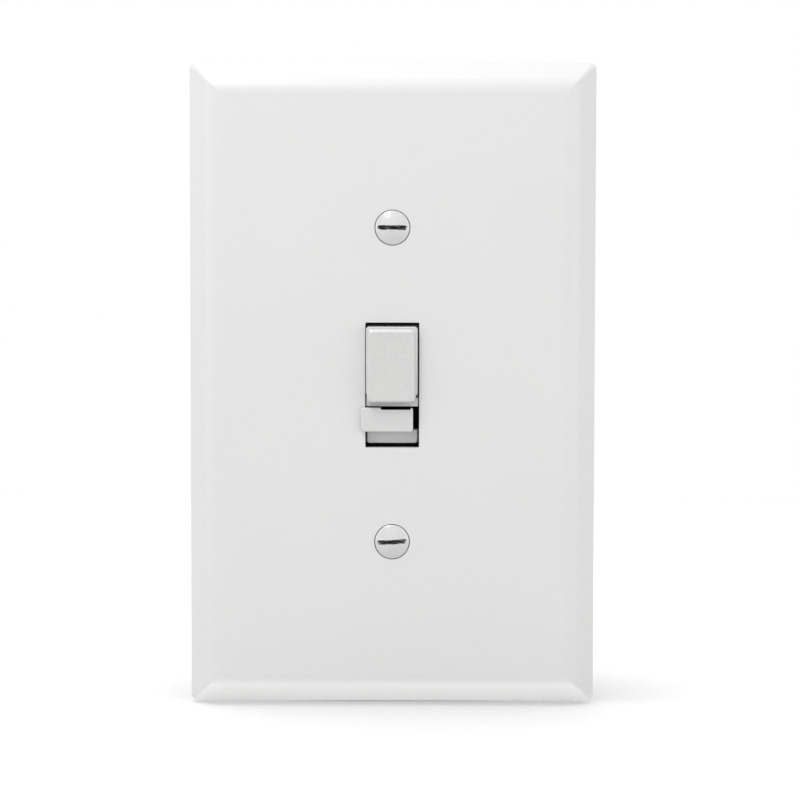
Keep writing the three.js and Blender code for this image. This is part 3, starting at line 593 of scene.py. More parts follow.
def opening_cutter():
    """Cuts the toggle opening and rolls its front edge."""
    roll = 0.12
    rings = []
    for depth, grow in ((PLATE.y0 - 1, roll), (PLATE.y0, roll),
                        (PLATE.y0 + roll * 0.4, roll * 0.4), (PLATE.y0 + roll, 0), (1, 0)):
        rings.append(rounded_ring(
            OPENING_WIDTH + 2 * grow, OPENING_HEIGHT + 2 * grow, 0.18 + grow, depth, 3))
    return solid_from_rings(rings)


def seat_cutter(z, mouth, bore):
    face = PLATE.y0
    profile = [(mouth + 0.04, face - 1), (mouth + 0.04, face), (mouth, face + 0.04),
               (mouth, face + SEAT_SINK),
               (bore, face + SEAT_SINK + (mouth - bore) / HEAD_SLOPE), (bore, 1)]
    return turned(profile, 96, (0, z))


def make_wall_plate():
    depth = -PLATE.y0
    outer = crown_rings(PLATE.width, PLATE.height, RIM_DEPTH, depth, CROWN_RADIUS, 1.2, 0, 0.35)
    plate = to_object("wall_plate_moulding", solid_from_rings(outer))
    inner = crown_rings(
        PLATE.width - 2 * PLATE_WALL, PLATE.height - 2 * PLATE_WALL, 0.5, depth - PLATE_WALL,
        CROWN_RADIUS - 1, 0.8, 1, 0.2)
    cut(plate, solid_from_rings(inner))
    inside = PLATE.y0 + PLATE_WALL
    added = []
    for z in SCREW_SPOTS:
        added.append(turned([(4.5, inside - 0.5), (4.5, -1.7), (4.3, -1.5)], 64, (0, z)))
    for x in (-1, 1):
        for z in (-1, 1):
            added.append(box_mesh(sorted((x * 8, x * 34)), (inside - 0.5, inside + 0.7),
                                  (z * 18 - 0.5, z * 18 + 0.5)))
    join(plate, *added)
    cut(plate, opening_cutter(),
        *(seat_cutter(z, SEAT_MOUTH, SCREW_RADIUS + 0.25) for z in SCREW_SPOTS))
    return add_piece(plate, "plate_white", ["wall_plate"], 50)


# ---- screws ----

SCREW_RADIUS = 0.138 * 25.4 / 2
SCREW_PITCH = 25.4 / 32
THREAD_DEPTH = 0.42
SCREW_SPOTS = [Limits("plate_screw_upper").z, Limits("plate_screw_lower").z]
HEAD_CROWN = 1.2
PLATE_SLOT_HALF = 0.475
PLATE_SLOT_FLOOR = -0.2


def threaded_profile(head, shank_start, tip, radius, pitch=SCREW_PITCH, depth=THREAD_DEPTH,
                     thread_from=None):
    """Head points, then rows along the shank; twist(angle, row) adds the thread to them."""
    rows_per_turn = 8
    profile = list(head)
    if thread_from is not None:
        profile += [(radius - depth * 0.4, shank_start), (radius - depth * 0.4, thread_from - 0.2)]
        shank_start = thread_from
    first = len(profile)
    rows = max(2, round((tip - shank_start) / pitch * rows_per_turn))
    for row in range(rows + 1):
        profile.append((radius - depth, shank_start + (tip - shank_start) * row / rows))
    profile.append((0.3, tip + 0.25))

    def twist(angle, row):
        if row < first or row > first + rows:
            return 0
        wave = ((row - first) / rows_per_turn - angle / TAU) % 1
        crest = 1 - abs(2 * wave - 1)
        fade = min(1, (row - first) / rows_per_turn, (first + rows - row) / rows_per_turn)
        return depth * fade * min(1, crest * 1.35)

    return profile, twist


def dome_height(r, radius):
    """The head's front, a low dome, a little more pointed than an arc."""
    return -HEAD_CROWN * (1 - min(1, r / radius) ** 1.5)


def oval_head(radius):
    steps = 14
    head = []
    for step in range(steps + 1):
        r = 0.05 + (radius - 0.1) * step / steps
        head.append((r, dome_height(r, radius)))
    head += [(radius, 0.03), (radius - 0.03, 0.12)]
    neck = SCREW_RADIUS - THREAD_DEPTH
    head.append((neck, 0.12 + (radius - neck) / HEAD_SLOPE))
    return head


def slot_cutter(radius, seed):
    """A screwdriver slot across the head, with worn lips that follow the dome."""
    floor, half, depth = PLATE_SLOT_FLOOR, 0.26, 0.2
    rings = []
    for step in range(49):
        x = (step / 24 - 1) * (radius + 0.2)
        dome = dome_height(abs(x), radius)
        flare = min(dome + depth, floor - 0.02)
        lip = min(dome, flare - 0.02)
        upper = PLATE_SLOT_HALF + 0.035 * math.sin(2.1 * x + seed) + 0.015 * math.sin(7 * x)
        lower = PLATE_SLOT_HALF + 0.035 * math.sin(1.7 * x + 2 * seed) + 0.015 * math.sin(6 * x)
        side = [(floor, half), (flare, half + 0.03), (lip, upper), (-5, upper)]
        other = [(-5, -lower), (lip, -lower), (flare, -half - 0.03), (floor, -half)]
        rings.append([(x, y, z) for y, z in side + other])
    return solid_from_rings(rings)


def make_plate_screws():
    for name, z, turn in (("upper", SCREW_SPOTS[0], 0.0), ("lower", SCREW_SPOTS[1], 3.5)):
        cad = Limits(f"plate_screw_{name}")
        radius = cad.height / 2 - 0.02
        head = oval_head(radius)
        profile, twist = threaded_profile(head, head[-1][1] + 0.05, cad.depth - HEAD_CROWN - 0.3,
                                          SCREW_RADIUS)
        screw = to_object(f"plate_screw_{name}_turned", turned(profile, 64, twist=twist))
        cut(screw, slot_cutter(radius, z))
        soften(screw, 0.03, 2, 50)
        # Slot floor and middle walls take the darkest slot finish and the outer walls the lighter
        # lip copy, painted shade of the deep slot; the cone and shank under the head take the dark
        # cone steel, painted shade for the ring gap round the head.
        for polygon in screw.data.polygons:
            y, along = polygon.center.y / MM, abs(polygon.center.z / MM)
            if y > 0.02:
                polygon.material_index = 2
            elif abs(y - PLATE_SLOT_FLOOR) < 0.03 and along < 0.3 and polygon.normal.y < -0.98:
                polygon.material_index = 1
            elif along < PLATE_SLOT_HALF + 0.05 and abs(polygon.normal.z) > 0.5:
                polygon.material_index = 1 if along < 0.3 else 3
        place(screw, at(0, cad.y0 + HEAD_CROWN, z, -turn, "Y"))
        add_piece(screw, "painted_screw", [f"plate_screw_{name}"], 40,
                  ("slot_wear_and_shade", "cone_steel_painted_shade", "slot_lip_wear_and_half_shade"))


def pan_head(radius, height, neck):
    head = [(0.05, -height), (0.6 * radius, -height)]
    steps = 7
    for step in range(1, steps + 1):
        angle = math.pi / 2 * step / steps
        head.append((radius * (0.6 + 0.4 * math.sin(angle)),
                     -height + 0.7 * height * (1 - math.cos(angle))))
    head += [(radius, -0.08), (radius - 0.08, 0), (neck, 0)]
    return head


def make_pan_screw(node, slot, matrix, radius, height, shank, length, groove, cross=False,
                   pitch=SCREW_PITCH, depth=THREAD_DEPTH, thread_from=None):
    """A screw whose head stands on y = 0 and faces -Y before the matrix moves it."""
    neck = shank - depth
    profile, twist = threaded_profile(
        pan_head(radius, height, neck), 0.1, length - 0.25, shank, pitch, depth, thread_from)
    screw = to_object(f"{node}_turned", turned(profile, 48, twist=twist))
    reach = radius + 1
    bottom = -height * 0.45
    cut(screw, box_mesh((-reach, reach), (-9, bottom), (-groove / 2, groove / 2)))
    if cross:
        arm = radius * 0.62
        cut(screw, box_mesh((-groove * 0.45, groove * 0.45), (-9, bottom + 0.15), (-arm, arm)))
    soften(screw, 0.06, 2, 60)
    place(screw, matrix)
    return add_piece(screw, slot, [node], 40)


def make_box_screws():
    for end in ("upper", "lower"):
        cad = Limits(f"box_screw_{end}")
        make_pan_screw(f"box_screw_{end}", "zinc_steel", at(0, STRAP.y0, cad.z),
                       3.4, 1.8, SCREW_RADIUS, cad.y1 - STRAP.y0, 1.0, cross=True)
        cad = Limits(f"box_screw_washer_{end}")
        washer = to_object(f"box_screw_washer_{end}_card", rounded_block(
            cad.width, cad.height, 0.9, cad.y0, cad.y1, 0.08, 2, 5, (0, cad.z)))
        cut(washer, turned(
            [(SCREW_RADIUS + 0.1, -2), (SCREW_RADIUS + 0.1, 2)], 48, (0, cad.z),
            lambda angle, row: -0.06 * (1 + math.sin(9 * angle))))
        add_piece(washer, "fibre", [f"box_screw_washer_{end}"])


def make_small_screws():
    earth = Limits("earth_screw")
    make_pan_screw("earth_screw", "earth_green", at(earth.x, earth.y, earth.z0 + 2.4, 90, "X"),
                   4.2, 2.4, 2.4, 2.15, 1.2, cross=True)
    for i, cad in enumerate(HOUSING_SCREWS, 1):
        make_pan_screw(f"housing_screw_{i}", "zinc_steel", at(cad.x, cad.y1 - 1.4, cad.z, 180, "X"),
                       2.2, 1.4, 1.25, 29.8, 0.7, cross=True, pitch=0.6, depth=0.22,
                       thread_from=22)
    for name, slot in (("line", "brass"), ("load", "nickel")):
        cad = Limits(f"{name}_terminal_screw")
        make_pan_screw(f"{name}_terminal_screw", slot, at(cad.x1 - 1.9, cad.y, cad.z, 90, "Z"),
                       3.9, 1.9, 1.9, 2.35, 1.1, cross=True)


# ---- nose bezel, push button and slide tab ----

POST_Z = Limits("button_spring").z
POST_TIP = BUTTON.y1
NOSE_WIDTH, NOSE_HEIGHT = 9.7, 22.5
NOSE_FRONT = -3.8
LEDGE_BOTTOM = -4.1
LEDGE_WIDTH, LEDGE_HEIGHT = 9.94, 1.7


def barb_slots(y0, y1):
    """The two slots that the button's barbed legs pass through."""
    return [box_mesh((-BARB_SLOT_HALF, BARB_SLOT_HALF), (y0, y1), z) for z in BARB_SLOTS_Z]


def make_bezel():
    bezel = to_object("nose_bezel_moulding", rounded_block(
        NOSE_WIDTH, NOSE_HEIGHT, 0.5, NOSE_FRONT, 0.4, 0.2, 3))
    join(bezel, rounded_block(BEZEL.width, BEZEL.height, 1, 0, BEZEL.y1, 0.08, 2))
    join(bezel, rounded_block(
        LEDGE_WIDTH, LEDGE_HEIGHT, 0.15, BEZEL.y0, NOSE_FRONT + 1, 0.14, 3, 3,
        (0, LEDGE_BOTTOM + LEDGE_HEIGHT / 2)))
    cut(bezel, box_mesh((-5.35, 5.35), (-9, 2), (-8.7, LEDGE_BOTTOM)),
        rod(2.7, -9, 2, (0, POST_Z), 48),
        *barb_slots(-9, 2))
    soften(bezel, 0.12, 2, 60)
    add_piece(bezel, "control_white", ["nose_bezel"], finish="tab_white")


def cap_ring(x0, x1, z0, z1, top_radius, bottom_radius, steps=6):
    """(x, z) points round the cap, with its own corner radius above and below."""
    points = []
    for turn, (x, z, i, j, radius) in enumerate((
            (x1, z0, -1, 1, bottom_radius), (x1, z1, -1, -1, top_radius),
            (x0, z1, 1, -1, top_radius), (x0, z0, 1, 1, bottom_radius))):
        for step in range(steps + 1):
            angle = TAU * (turn - 1 + step / steps) / 4
            points.append((x + radius * (i + math.cos(angle)), z + radius * (j + math.sin(angle))))
    return points


CAP_TOP = 11.25
CAP_BOTTOM = -3.15
CAP_CHAMFER = 1.05
CAP_LEFT, CAP_RIGHT = -4.75, 4.57
CAP_BACK = -6.25
SKIRT_WIDTH = 9.86
SKIRT_BOTTOM = -1.98
SKIRT_FRONT, SKIRT_BACK = -7.0, -4.75
BUTTON_LEG_OFFSET = 4.0
BUTTON_LEG_TIP = 3.1
BUTTON_LEG_HALF = 1.2


def cap_face(z):
    """Depth of the dished front, which leans out towards the bottom."""
    share = (z - CAP_BOTTOM - 0.3) / (CAP_TOP - CAP_CHAMFER - CAP_BOTTOM - 0.3)
    share = min(1, max(0, share))
    return BUTTON.y0 + 0.03 + 0.75 * (1 - (1 - share) ** 2)


def cap_mesh():
    left, right = CAP_LEFT, CAP_RIGHT
    side, low = 0.42, 0.35
    outer = cap_ring(left, right, CAP_BOTTOM, CAP_TOP, 0.7, 0.95)
    inner = cap_ring(left + side, right - side, CAP_BOTTOM + low, CAP_TOP - CAP_CHAMFER, 0.6, 0.8)
    rings = [[(x, CAP_BACK, z) for x, z in outer]]
    rim_steps = 6
    for step in range(rim_steps + 1):
        share = step / rim_steps
        ring = []
        for (xo, zo), (xi, zi) in zip(outer, inner):
            edge = max(0.4 * abs(xo - xi) / side, 0.3 * max(0, zi - zo) / low)
            chamfer = 0.9 * max(0, zo - zi) / CAP_CHAMFER
            drop = max(edge * (1 - share) ** 1.5, chamfer * (1 - share) ** 1.15)
            ring.append((xo + (xi - xo) * share, cap_face(zi) + drop, zo + (zi - zo) * share))
        rings.append(ring)
    middle = ((left + right) / 2, (CAP_BOTTOM + CAP_TOP) / 2)
    steps = 9
    for step in range(1, steps):
        share = 1 - step / steps
        ring = []
        for x, z in inner:
            px = middle[0] + (x - middle[0]) * share
            pz = middle[1] + (z - middle[1]) * share
            ring.append((px, cap_face(pz), pz))
        rings.append(ring)
    return solid_from_rings(rings)


def make_button():
    """Cap with a dished face and a bright top chamfer, standing on a wider skirt."""
    button = to_object("push_button_cap", cap_mesh())
    soften(button, 0.09, 3, 25)
    join(button, rounded_block(
        SKIRT_WIDTH, CAP_TOP - SKIRT_BOTTOM, 0.6, SKIRT_FRONT, SKIRT_BACK, 0.2, 4, 6,
        (0, (SKIRT_BOTTOM + CAP_TOP) / 2)))
    cut(button, box_mesh((-3.7, 3.7), (-6.4, -4), (-0.9, 10.2)))
    post = turned([(1.5, -6.6), (1.5, POST_TIP - 0.2), (1.3, POST_TIP)], 40, (0, POST_Z))
    legs = []
    for end in (1, -1):
        z = POST_Z + end * BUTTON_LEG_OFFSET
        barb = z + end * 0.9
        width = (-BUTTON_LEG_HALF, BUTTON_LEG_HALF)
        legs.append(box_mesh(width, (-6.6, BUTTON_LEG_TIP), (z - 0.5, z + 0.5)))
        legs.append(box_mesh(width, (2.1, BUTTON_LEG_TIP), (barb - 0.8, barb + 0.8)))
    join(button, post, *legs)
    place(button, at(BUTTON.x, 0, 0))
    add_piece(button, "control_white", ["push_button"], 40, body="button")


def make_tab():
    tab = to_object("slide_tab_moulding", rounded_block(
        TAB.width, TAB.height, 0.5, TAB.y0, -5.8, 0.28, 6, 6, (TAB.x, TAB.z), back_edge=0.2))
    cut(tab, bevelled_box(
        (TAB.x - 1.2, TAB.x + 4.6), (TAB.y0 - 2, -4), (TAB.z1 - 0.42, TAB.z1 + 1), 0.25, 3))
    join(tab, bevelled_box(
        (TAB.x - 2.3, TAB.x + 2.3), (-6.2, TAB.y1), (TAB.z - 1.15, TAB.z + 1.15), 0.12))
    soften(tab, 0.08, 2, 50)
    add_piece(tab, "tab_white", ["slide_tab"], body="slide")
    carrier = Limits("slide_carrier")
    block = to_object("slide_carrier_moulding", filled_block(carrier, 0.8, 0.25, 3))
    cut(block, box_mesh((TAB.x - 2.35, TAB.x + 2.35), (0, 9), (TAB.z - 1.2, TAB.z + 1.2)),
        *(bevelled_box((carrier.x + side * 4.4 - 0.5, carrier.x + side * 4.4 + 0.5),
                       (carrier.y0 - 1, carrier.y0 + 0.5),
                       (carrier.z0 + 1, carrier.z1 - 1), 0.1) for side in (-1, 1)))
    add_piece(block, "inner_plastic", ["slide_carrier"], body="slide")
    bridge = Limits("contact_bridge")
    strip = to_object("contact_bridge_strip", filled_block(bridge, 0.6, 0.12, 3))
    cut(strip, rounded_block(
        7, 1, 0.45, bridge.y0 - 1, bridge.y0 + 0.25, 0.1, 2, centre=(bridge.x, bridge.z)))
    add_piece(strip, "brass", ["contact_bridge"], body="slide")


def make_cutoff_contacts():
    for side in ("line", "load"):
        cad = Limits(f"cutoff_contact_{side}")
        post = to_object(f"cutoff_contact_{side}_post", bevelled_box(
            (cad.x0, cad.x1), (cad.y0, cad.y0 + 0.8), (cad.z0, cad.z1), 0.15, 3))
        join(post, bevelled_box(
            (cad.x0, cad.x0 + 0.8), (cad.y0 + 0.1, cad.y1), (cad.z - 1.2, cad.z + 1.2), 0.12))
        add_piece(post, "brass", [f"cutoff_contact_{side}"])


def make_spring():
    cad = Limits("button_spring")
    wire = 0.2
    turns = 6
    coil = (cad.width / 2) - wire
    low, high = cad.y0 + wire, cad.y1 - wire
    closed = 2 * wire + 0.02
    pitch = (high - low - 2 * closed) / (turns - 2)
    points = []
    steps = turns * 36
    for i in range(steps + 1):
        t = turns * i / steps
        y = low + closed * min(t, 1) + pitch * min(max(t - 1, 0), turns - 2) \
            + closed * max(t - turns + 1, 0)
        angle = TAU * t
        points.append((cad.x + coil * math.cos(angle), y, cad.z + coil * math.sin(angle)))
    spring = to_object("button_spring_coil", tube(points, wire, 12, 0.7))
    add_piece(spring, "spring_steel", ["button_spring"])
    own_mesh(spring)


# ---- mounting strap ----

STRAP_WIDTH, STRAP_MIDDLE = 44, 74
NECK_WIDTH = 19
EAR_WIDTH, EAR_HEIGHT = 35, 8
EAR_HOLE_X = 12.5
SNAP_LINE_X = 9.5
BOX_SLOT_Z = 41.66
WINDOW_WIDTH, WINDOW_HEIGHT = 10.3, 22.9


def make_strap():
    y0, y1 = STRAP.y0, 0
    strap = to_object("mounting_strap_stamping",
                      rounded_block(STRAP_WIDTH, STRAP_MIDDLE, 1.5, y0, y1, 0))
    ear_z = (STRAP.height - EAR_HEIGHT) / 2
    join(strap, rounded_block(NECK_WIDTH, STRAP.height, 1.5, y0, y1, 0),
         *(rounded_block(EAR_WIDTH, EAR_HEIGHT, 2.5, y0, y1, 0, centre=(0, side * ear_z))
           for side in (1, -1)))
    join(strap, leg_mesh())
    cuts = [rounded_block(WINDOW_WIDTH, WINDOW_HEIGHT, 0.5, -3, 2, 0)]
    for z in SCREW_SPOTS:
        cuts.append(tapped_hole(z))
    for side in (1, -1):
        cuts.append(rounded_block(7, 4, 1.99, -3, 2, 0, centre=(0, side * BOX_SLOT_Z),
                                  corner_steps=10))
        for x in (-EAR_HOLE_X, EAR_HOLE_X):
            cuts.append(rod(2, -3, 2, (x, side * ear_z), 40))
        for x in (-SNAP_LINE_X, SNAP_LINE_X):
            cuts.append(bevelled_box((x - 0.3, x + 0.3), (y0 - 1, y0 + 0.3),
                                     (side * ear_z - 5, side * ear_z + 5), 0.15, 2))
    cuts += [rod(SCREW_CLEARANCE, -3, 2, (spot.x, spot.z)) for spot in HOUSING_SCREWS]
    rivet = Limits("triac_rivet")
    cuts.append(rod(1.7, -3, 2, (rivet.x, rivet.z)))
    cut(strap, *cuts)
    earth = Limits("earth_screw")
    cut(strap, rod(2.55, -3, 3, segments=40),
        matrix=at(earth.x, earth.y, LEG_EDGE + 0.6, 90, "X"))
    soften(strap, 0.14, 3, 50)
    add_piece(strap, "strap_black", ["mounting_strap"])


def leg_mesh():
    """The earth leg, folded back from the strap's lower edge."""
    edge = LEG_EDGE
    thick = 1.2
    end = STRAP.y1
    outline = [(end, edge + 0.3), (end - 0.3, edge), (thick, edge), (-0.2, edge)]
    outline += [(-0.2, edge + thick), (end - 0.3, edge + thick), (end, edge + thick - 0.3)]
    return solid_from_rings([[(x, y, z) for y, z in outline] for x in LEG_SPAN])


def tapped_hole(z):
    rows, rows_per_turn = 24, 6.4
    profile = [(SCREW_RADIUS - 0.1, -2 + 3 * row / rows) for row in range(rows + 1)]

    def twist(angle, row):
        wave = (row / rows_per_turn - angle / TAU) % 1
        return 0.25 * (1 - abs(2 * wave - 1))

    return turned(profile, 48, (0, z), twist)


# ---- front cover and rear housing ----

def make_front_cover():
    back = 2.0
    cover = to_object("front_cover_moulding", rounded_block(
        COVER.width, COVER.height, 3, 0, back, 0.15, 2, back_edge=0.05))
    posts = [turned([(2.4, 1), (2.4, 2.1), (2.0, 2.6), (2.0, COVER.y1 - 0.15),
                     (1.85, COVER.y1)], 32, (x, z))
             for x, z in ((13, -22), (-13, -22), (-13, 22))]
    join(cover, *posts)
    triac = Limits("triac")
    cuts = [
        rounded_block(BEZEL.width + 0.3, BEZEL.height + 0.3, 1.1, -1, BEZEL.y1, 0),
        rounded_block(7.2, 2.9, 0.3, -1, 4, 0, centre=(0, TAB.z)),
        rod(1.7, -1, 4, (0, POST_Z)),
        *barb_slots(-1, 4),
        rounded_block(11.2, 19, 0.4, -1, 4, 0, centre=(triac.x, 17.7)),
    ]
    for z in SCREW_SPOTS:
        cuts.append(rod(2.2, -1, 4, (0, z), 40))
    cuts += [rod(SCREW_CLEARANCE, -1, 4, (spot.x, spot.z)) for spot in HOUSING_SCREWS]
    cut(cover, *cuts)
    soften(cover, 0.1, 2, 60)
    add_piece(cover, "housing_black", ["front_cover"], finish="cover_black_painted_shade")


def make_housing():
    front, back, wall = HOUSING.y0, HOUSING.y1, HOUSING_WALL
    housing = to_object("rear_housing_moulding", rounded_block(
        HOUSING.width, HOUSING.height, 3, front, back, 0.05, 4, 8, back_edge=0.9))
    cut(housing, rounded_block(
        HOUSING.width - 2 * wall, HOUSING.height - 2 * wall, 1.2, front - 3, back - wall, 0,
        corner_steps=8, back_edge=0.5))
    join(housing, *(rod(2.8, front, back - 1, (s.x, s.z)) for s in HOUSING_SCREWS))
    cuts = []
    for spot in HOUSING_SCREWS:
        cuts.append(rod(SCREW_CLEARANCE, -1, back + 1, (spot.x, spot.z)))
        cuts.append(turned([(2.35, back - 2.2), (2.35, back - 0.25), (2.6, back), (2.6, back + 1)],
                           40, (spot.x, spot.z)))
    for name in ("line", "load"):
        terminal = Limits(f"{name}_terminal")
        cuts.append(bevelled_box((18, 26), (12.5, 21.5), (terminal.z - 4.5, terminal.z + 4.5),
                                 0.3))
    cuts.append(rounded_block(27, 40, 2, back - 0.35, back + 1, 0.2, 2))
    for z in (-21, -7, 0, 7, 21):
        for side in (-1, 1):
            if side == 1 and abs(z) in (7, 21):
                continue
            x = side * HOUSING.width / 2
            cuts.append(bevelled_box((x - 0.4, x + 0.4), (6, back - 3), (z - 1.2, z + 1.2), 0.2))
    for side in (-1, 1):
        for x in (-10, 0, 10):
            z = side * HOUSING.height / 2
            cuts.append(bevelled_box((x - 1.2, x + 1.2), (6, back - 3), (z - 0.4, z + 0.4), 0.2))
    cut(housing, *cuts)
    soften(housing, 0.12, 2, 60)
    add_piece(housing, "housing_black", ["rear_housing"])


def make_terminals():
    for name in ("line", "load"):
        cad = Limits(f"{name}_terminal")
        x1, z = cad.x1, cad.z
        half = cad.height / 2
        top = cad.y1 - 2 * half
        plate = to_object(f"{name}_terminal_stamping", bevelled_box(
            (x1 - 1, x1), (top, cad.y1), (cad.z0, cad.z1), 0.14, 3))
        join(plate, bevelled_box((x1 - 4.2, x1 - 0.5), (top, top + 1), (z - 2, z + 2), 0.14, 3),
             bevelled_box((x1 - 4.2, x1 - 3.2), (cad.y0, top + 1), (z - 2, z + 2), 0.14, 3))
        grooves = [bevelled_box((x1 - 0.15, x1 + 1), (cad.y - 9, cad.y + 9),
                                (z + step - 0.12, z + step + 0.12), 0.1, 1)
                   for step in (-3.6, -3.0, 3.0, 3.6)]
        cut(plate, *grooves)
        screw = Limits(f"{name}_terminal_screw")
        cut(plate, rod(2.1, -3, 3, segments=40),
            matrix=at(x1, screw.y, z, 90, "Z"))
        add_piece(plate, "brass", [f"{name}_terminal"])


# ---- heat sinking, board and what it carries ----

def make_heat_sinking():
    cad = Limits("triac")
    body = to_object("triac_package", gather())
    x, hole_z = cad.x, Limits("triac_rivet").z
    tab = bevelled_box((x - 5, x + 5), (cad.y0, 1.65), (10, cad.z1), 0.12)
    join(body, paint(tab, 1))
    moulding = bevelled_box((x - 5, x + 5), (0.95, 4.7), (10, 18.8), 0.35, 3)
    join(body, moulding)
    for i in (-1, 0, 1):
        lead = x + 2.54 * i
        join(body, paint(gather(
            tube([(lead, 2.8, 10.6), (lead, 2.8, 7.1), (lead, 3.0, 6.95), (lead, cad.y1, 6.9)],
                 0.32, 8)), 1))
    cut(body, rod(RIVET_HOLE, -1, 3, (x, hole_z), 40),
        rod(0.8, 4.5, 6, (x - 3.4, 17.2), 24))
    add_piece(body, "package_black", ["triac"], extra=("nickel",))
    cad = Limits("thermal_pad")
    pad = to_object("thermal_pad_sheet", filled_block(cad, 0.5, 0.08, 2))
    cut(pad, rod(RIVET_HOLE, -1, 1, (x, hole_z), 40))
    add_piece(pad, "thermal_grey", ["thermal_pad"])
    cad = Limits("triac_rivet")
    front, back = STRAP.y0, 1.75
    profile = [(0.05, cad.y0), (0.9, cad.y0 + 0.04), (1.7, cad.y0 + 0.2), (2.3, cad.y0 + 0.45),
               (2.6, front - 0.12), (2.55, front), (1.5, front), (1.5, back), (2.7, back),
               (2.8, back + 0.2), (2.4, cad.y1), (1.2, cad.y1), (1.0, cad.y1 - 0.3),
               (0.05, cad.y1 - 0.35)]
    rivet = to_object("triac_rivet_turned", turned(profile, 48, (cad.x, cad.z)))
    add_piece(rivet, "zinc_steel", ["triac_rivet"])


def make_tact_switch():
    cad = Limits("tact_switch_body")
    body = to_object("tact_switch_can", filled_block(cad, 0.5, 0.2, 3))
    cut(body, turned([(1.85, cad.y0 - 1), (1.85, 8.2)], 40, (cad.x, cad.z)))
    studs = [turned([(0.05, cad.y0 + 0.02), (0.4, cad.y0 + 0.05), (0.45, cad.y0 + 0.4)], 20,
                    (cad.x + i * 2.3, cad.z + j * 2.3)) for i in (-1, 1) for j in (-1, 1)]
    cut(body, *studs)
    add_piece(body, "nickel", ["tact_switch_body"])
    cad = Limits("tact_switch_plunger")
    radius = cad.width / 2
    plunger = to_object("tact_switch_plunger_turned", turned(
        [(0.05, cad.y0 + 0.03), (1.1, cad.y0), (radius - 0.2, cad.y0 + 0.05),
         (radius - 0.04, cad.y0 + 0.2), (radius, cad.y0 + 0.5), (radius, cad.y1 - 0.3),
         (radius - 0.1, cad.y1)], 40, (cad.x, cad.z)))
    add_piece(plunger, "package_black", ["tact_switch_plunger"], body="plunger")


def make_board():
    cad = Limits("circuit_board")
    board = to_object("circuit_board_laminate", filled_block(cad, 0.8, 0.08, 2))
    traces = [((-15, -14), (-24, 24)), ((-3.5, -2.5), (-22, 2)), ((2, 2.8), (-24, -10)),
              ((14.6, 15.6), (-24, 24)), ((4, 14), (11.6, 12.4)), ((-12, 12), (-25, -24.2)),
              ((-12, 2), (24.2, 25))]
    join(board, *(paint(box_mesh(x, (cad.y1 - 0.1, cad.y1 + 0.04), z), 1) for x, z in traces))
    add_piece(board, "board", ["circuit_board"], extra=("copper",))


def make_choke():
    core = Limits("choke_core")
    ring = (core.width - core.depth) / 2
    thick = core.depth / 2
    major, minor = 64, 24
    bm = bmesh.new()
    rows = [[bm.verts.new((
        core.x + (ring + thick * math.cos(TAU * j / minor)) * math.cos(TAU * i / major),
        core.y + thick * math.sin(TAU * j / minor),
        core.z + (ring + thick * math.cos(TAU * j / minor)) * math.sin(TAU * i / major)))
        for j in range(minor)] for i in range(major)]
    for i in range(major):
        for j in range(minor):
            k, m = (i + 1) % major, (j + 1) % minor
            bm.faces.new((rows[i][j], rows[i][m], rows[k][m], rows[k][j]))
    bmesh.ops.recalc_face_normals(bm, faces=bm.faces)
    add_piece(to_object("choke_core_ring", bm), "ferrite", ["choke_core"])
    turns, coil, wire = 23, 2.92, 0.4
    start, end = 0.4, TAU - 0.4
    points = []
    for i in range(turns * 20 + 1):
        share = i / (turns * 20)
        spin = math.pi / 2 + TAU * turns * share
        around = start + (end - start) * share
        reach = ring + coil * math.cos(spin)
        points.append((core.x + reach * math.cos(around), core.y + coil * math.sin(spin),
                       core.z + reach * math.sin(around)))
    first, last = points[0], points[-1]
    leads = [[first, (first[0] + 1.2, core.y + 1.5, first[2] + 1.4)],
             [last, (last[0] + 1.2, core.y + 1.5, last[2] - 1.4)]]
    winding = to_object("choke_winding_wire", gather(
        tube(points, wire, 8), *(tube(lead, wire, 8) for lead in leads)))
    add_piece(winding, "copper", ["choke_winding"])


def make_capacitors():
    cad = Limits("film_capacitor")
    box = to_object("film_capacitor_case", rounded_block(
        cad.width, cad.height, 0.9, cad.y0 + 0.3, cad.y1, 0.5, 4, centre=(cad.x, cad.z)))
    join(box, *(box_mesh((x - 0.6, x + 0.6), (cad.y0, cad.y0 + 0.6), (z - 0.6, z + 0.6))
                for x in (cad.x0 + 1.2, cad.x1 - 1.2)
                for z in (cad.z0 + 1.2, cad.z1 - 1.2)))
    cut(box, rounded_block(
        cad.width - 2.4, cad.height - 2.4, 0.5, cad.y1 - 0.12, cad.y1 + 1, 0.05, 2,
        centre=(cad.x, cad.z)))
    add_piece(box, "film_yellow", ["film_capacitor"])
    cad = Limits("electrolytic_capacitor")
    base, end, r = cad.y0, cad.y1, cad.width / 2
    profile = [(r - 0.5, base), (r - 0.1, base + 0.15), (r, base + 0.45), (r, base + 1.5),
               (r - 0.4, base + 1.9), (r, base + 2.3), (r, end - 0.5), (r - 0.15, end - 0.1),
               (r - 0.5, end), (r - 0.6, end - 0.15), (0.05, end - 0.15)]
    can = to_object("electrolytic_can", turned(profile, 64, (cad.x, cad.z)))
    depth = (end - 0.3, end + 1)
    cut(can, box_mesh((cad.x - 2.4, cad.x + 2.4), depth, (cad.z - 0.12, cad.z + 0.12)),
        box_mesh((cad.x - 0.12, cad.x + 0.12), depth, (cad.z - 2.4, cad.z + 2.4)))
    for polygon in can.data.polygons:
        centre = polygon.center / MM
        radius = math.hypot(centre.x - cad.x, centre.z - cad.z)
        if centre.y > end - 0.4 and radius < r - 0.5:
            polygon.material_index = 1
        elif centre.x - cad.x > 0.86 * r and centre.y > base + 2.3:
            polygon.material_index = 2
    add_piece(can, "can_black", ["electrolytic_capacitor"],
              extra=("nickel", "sleeve_grey"))


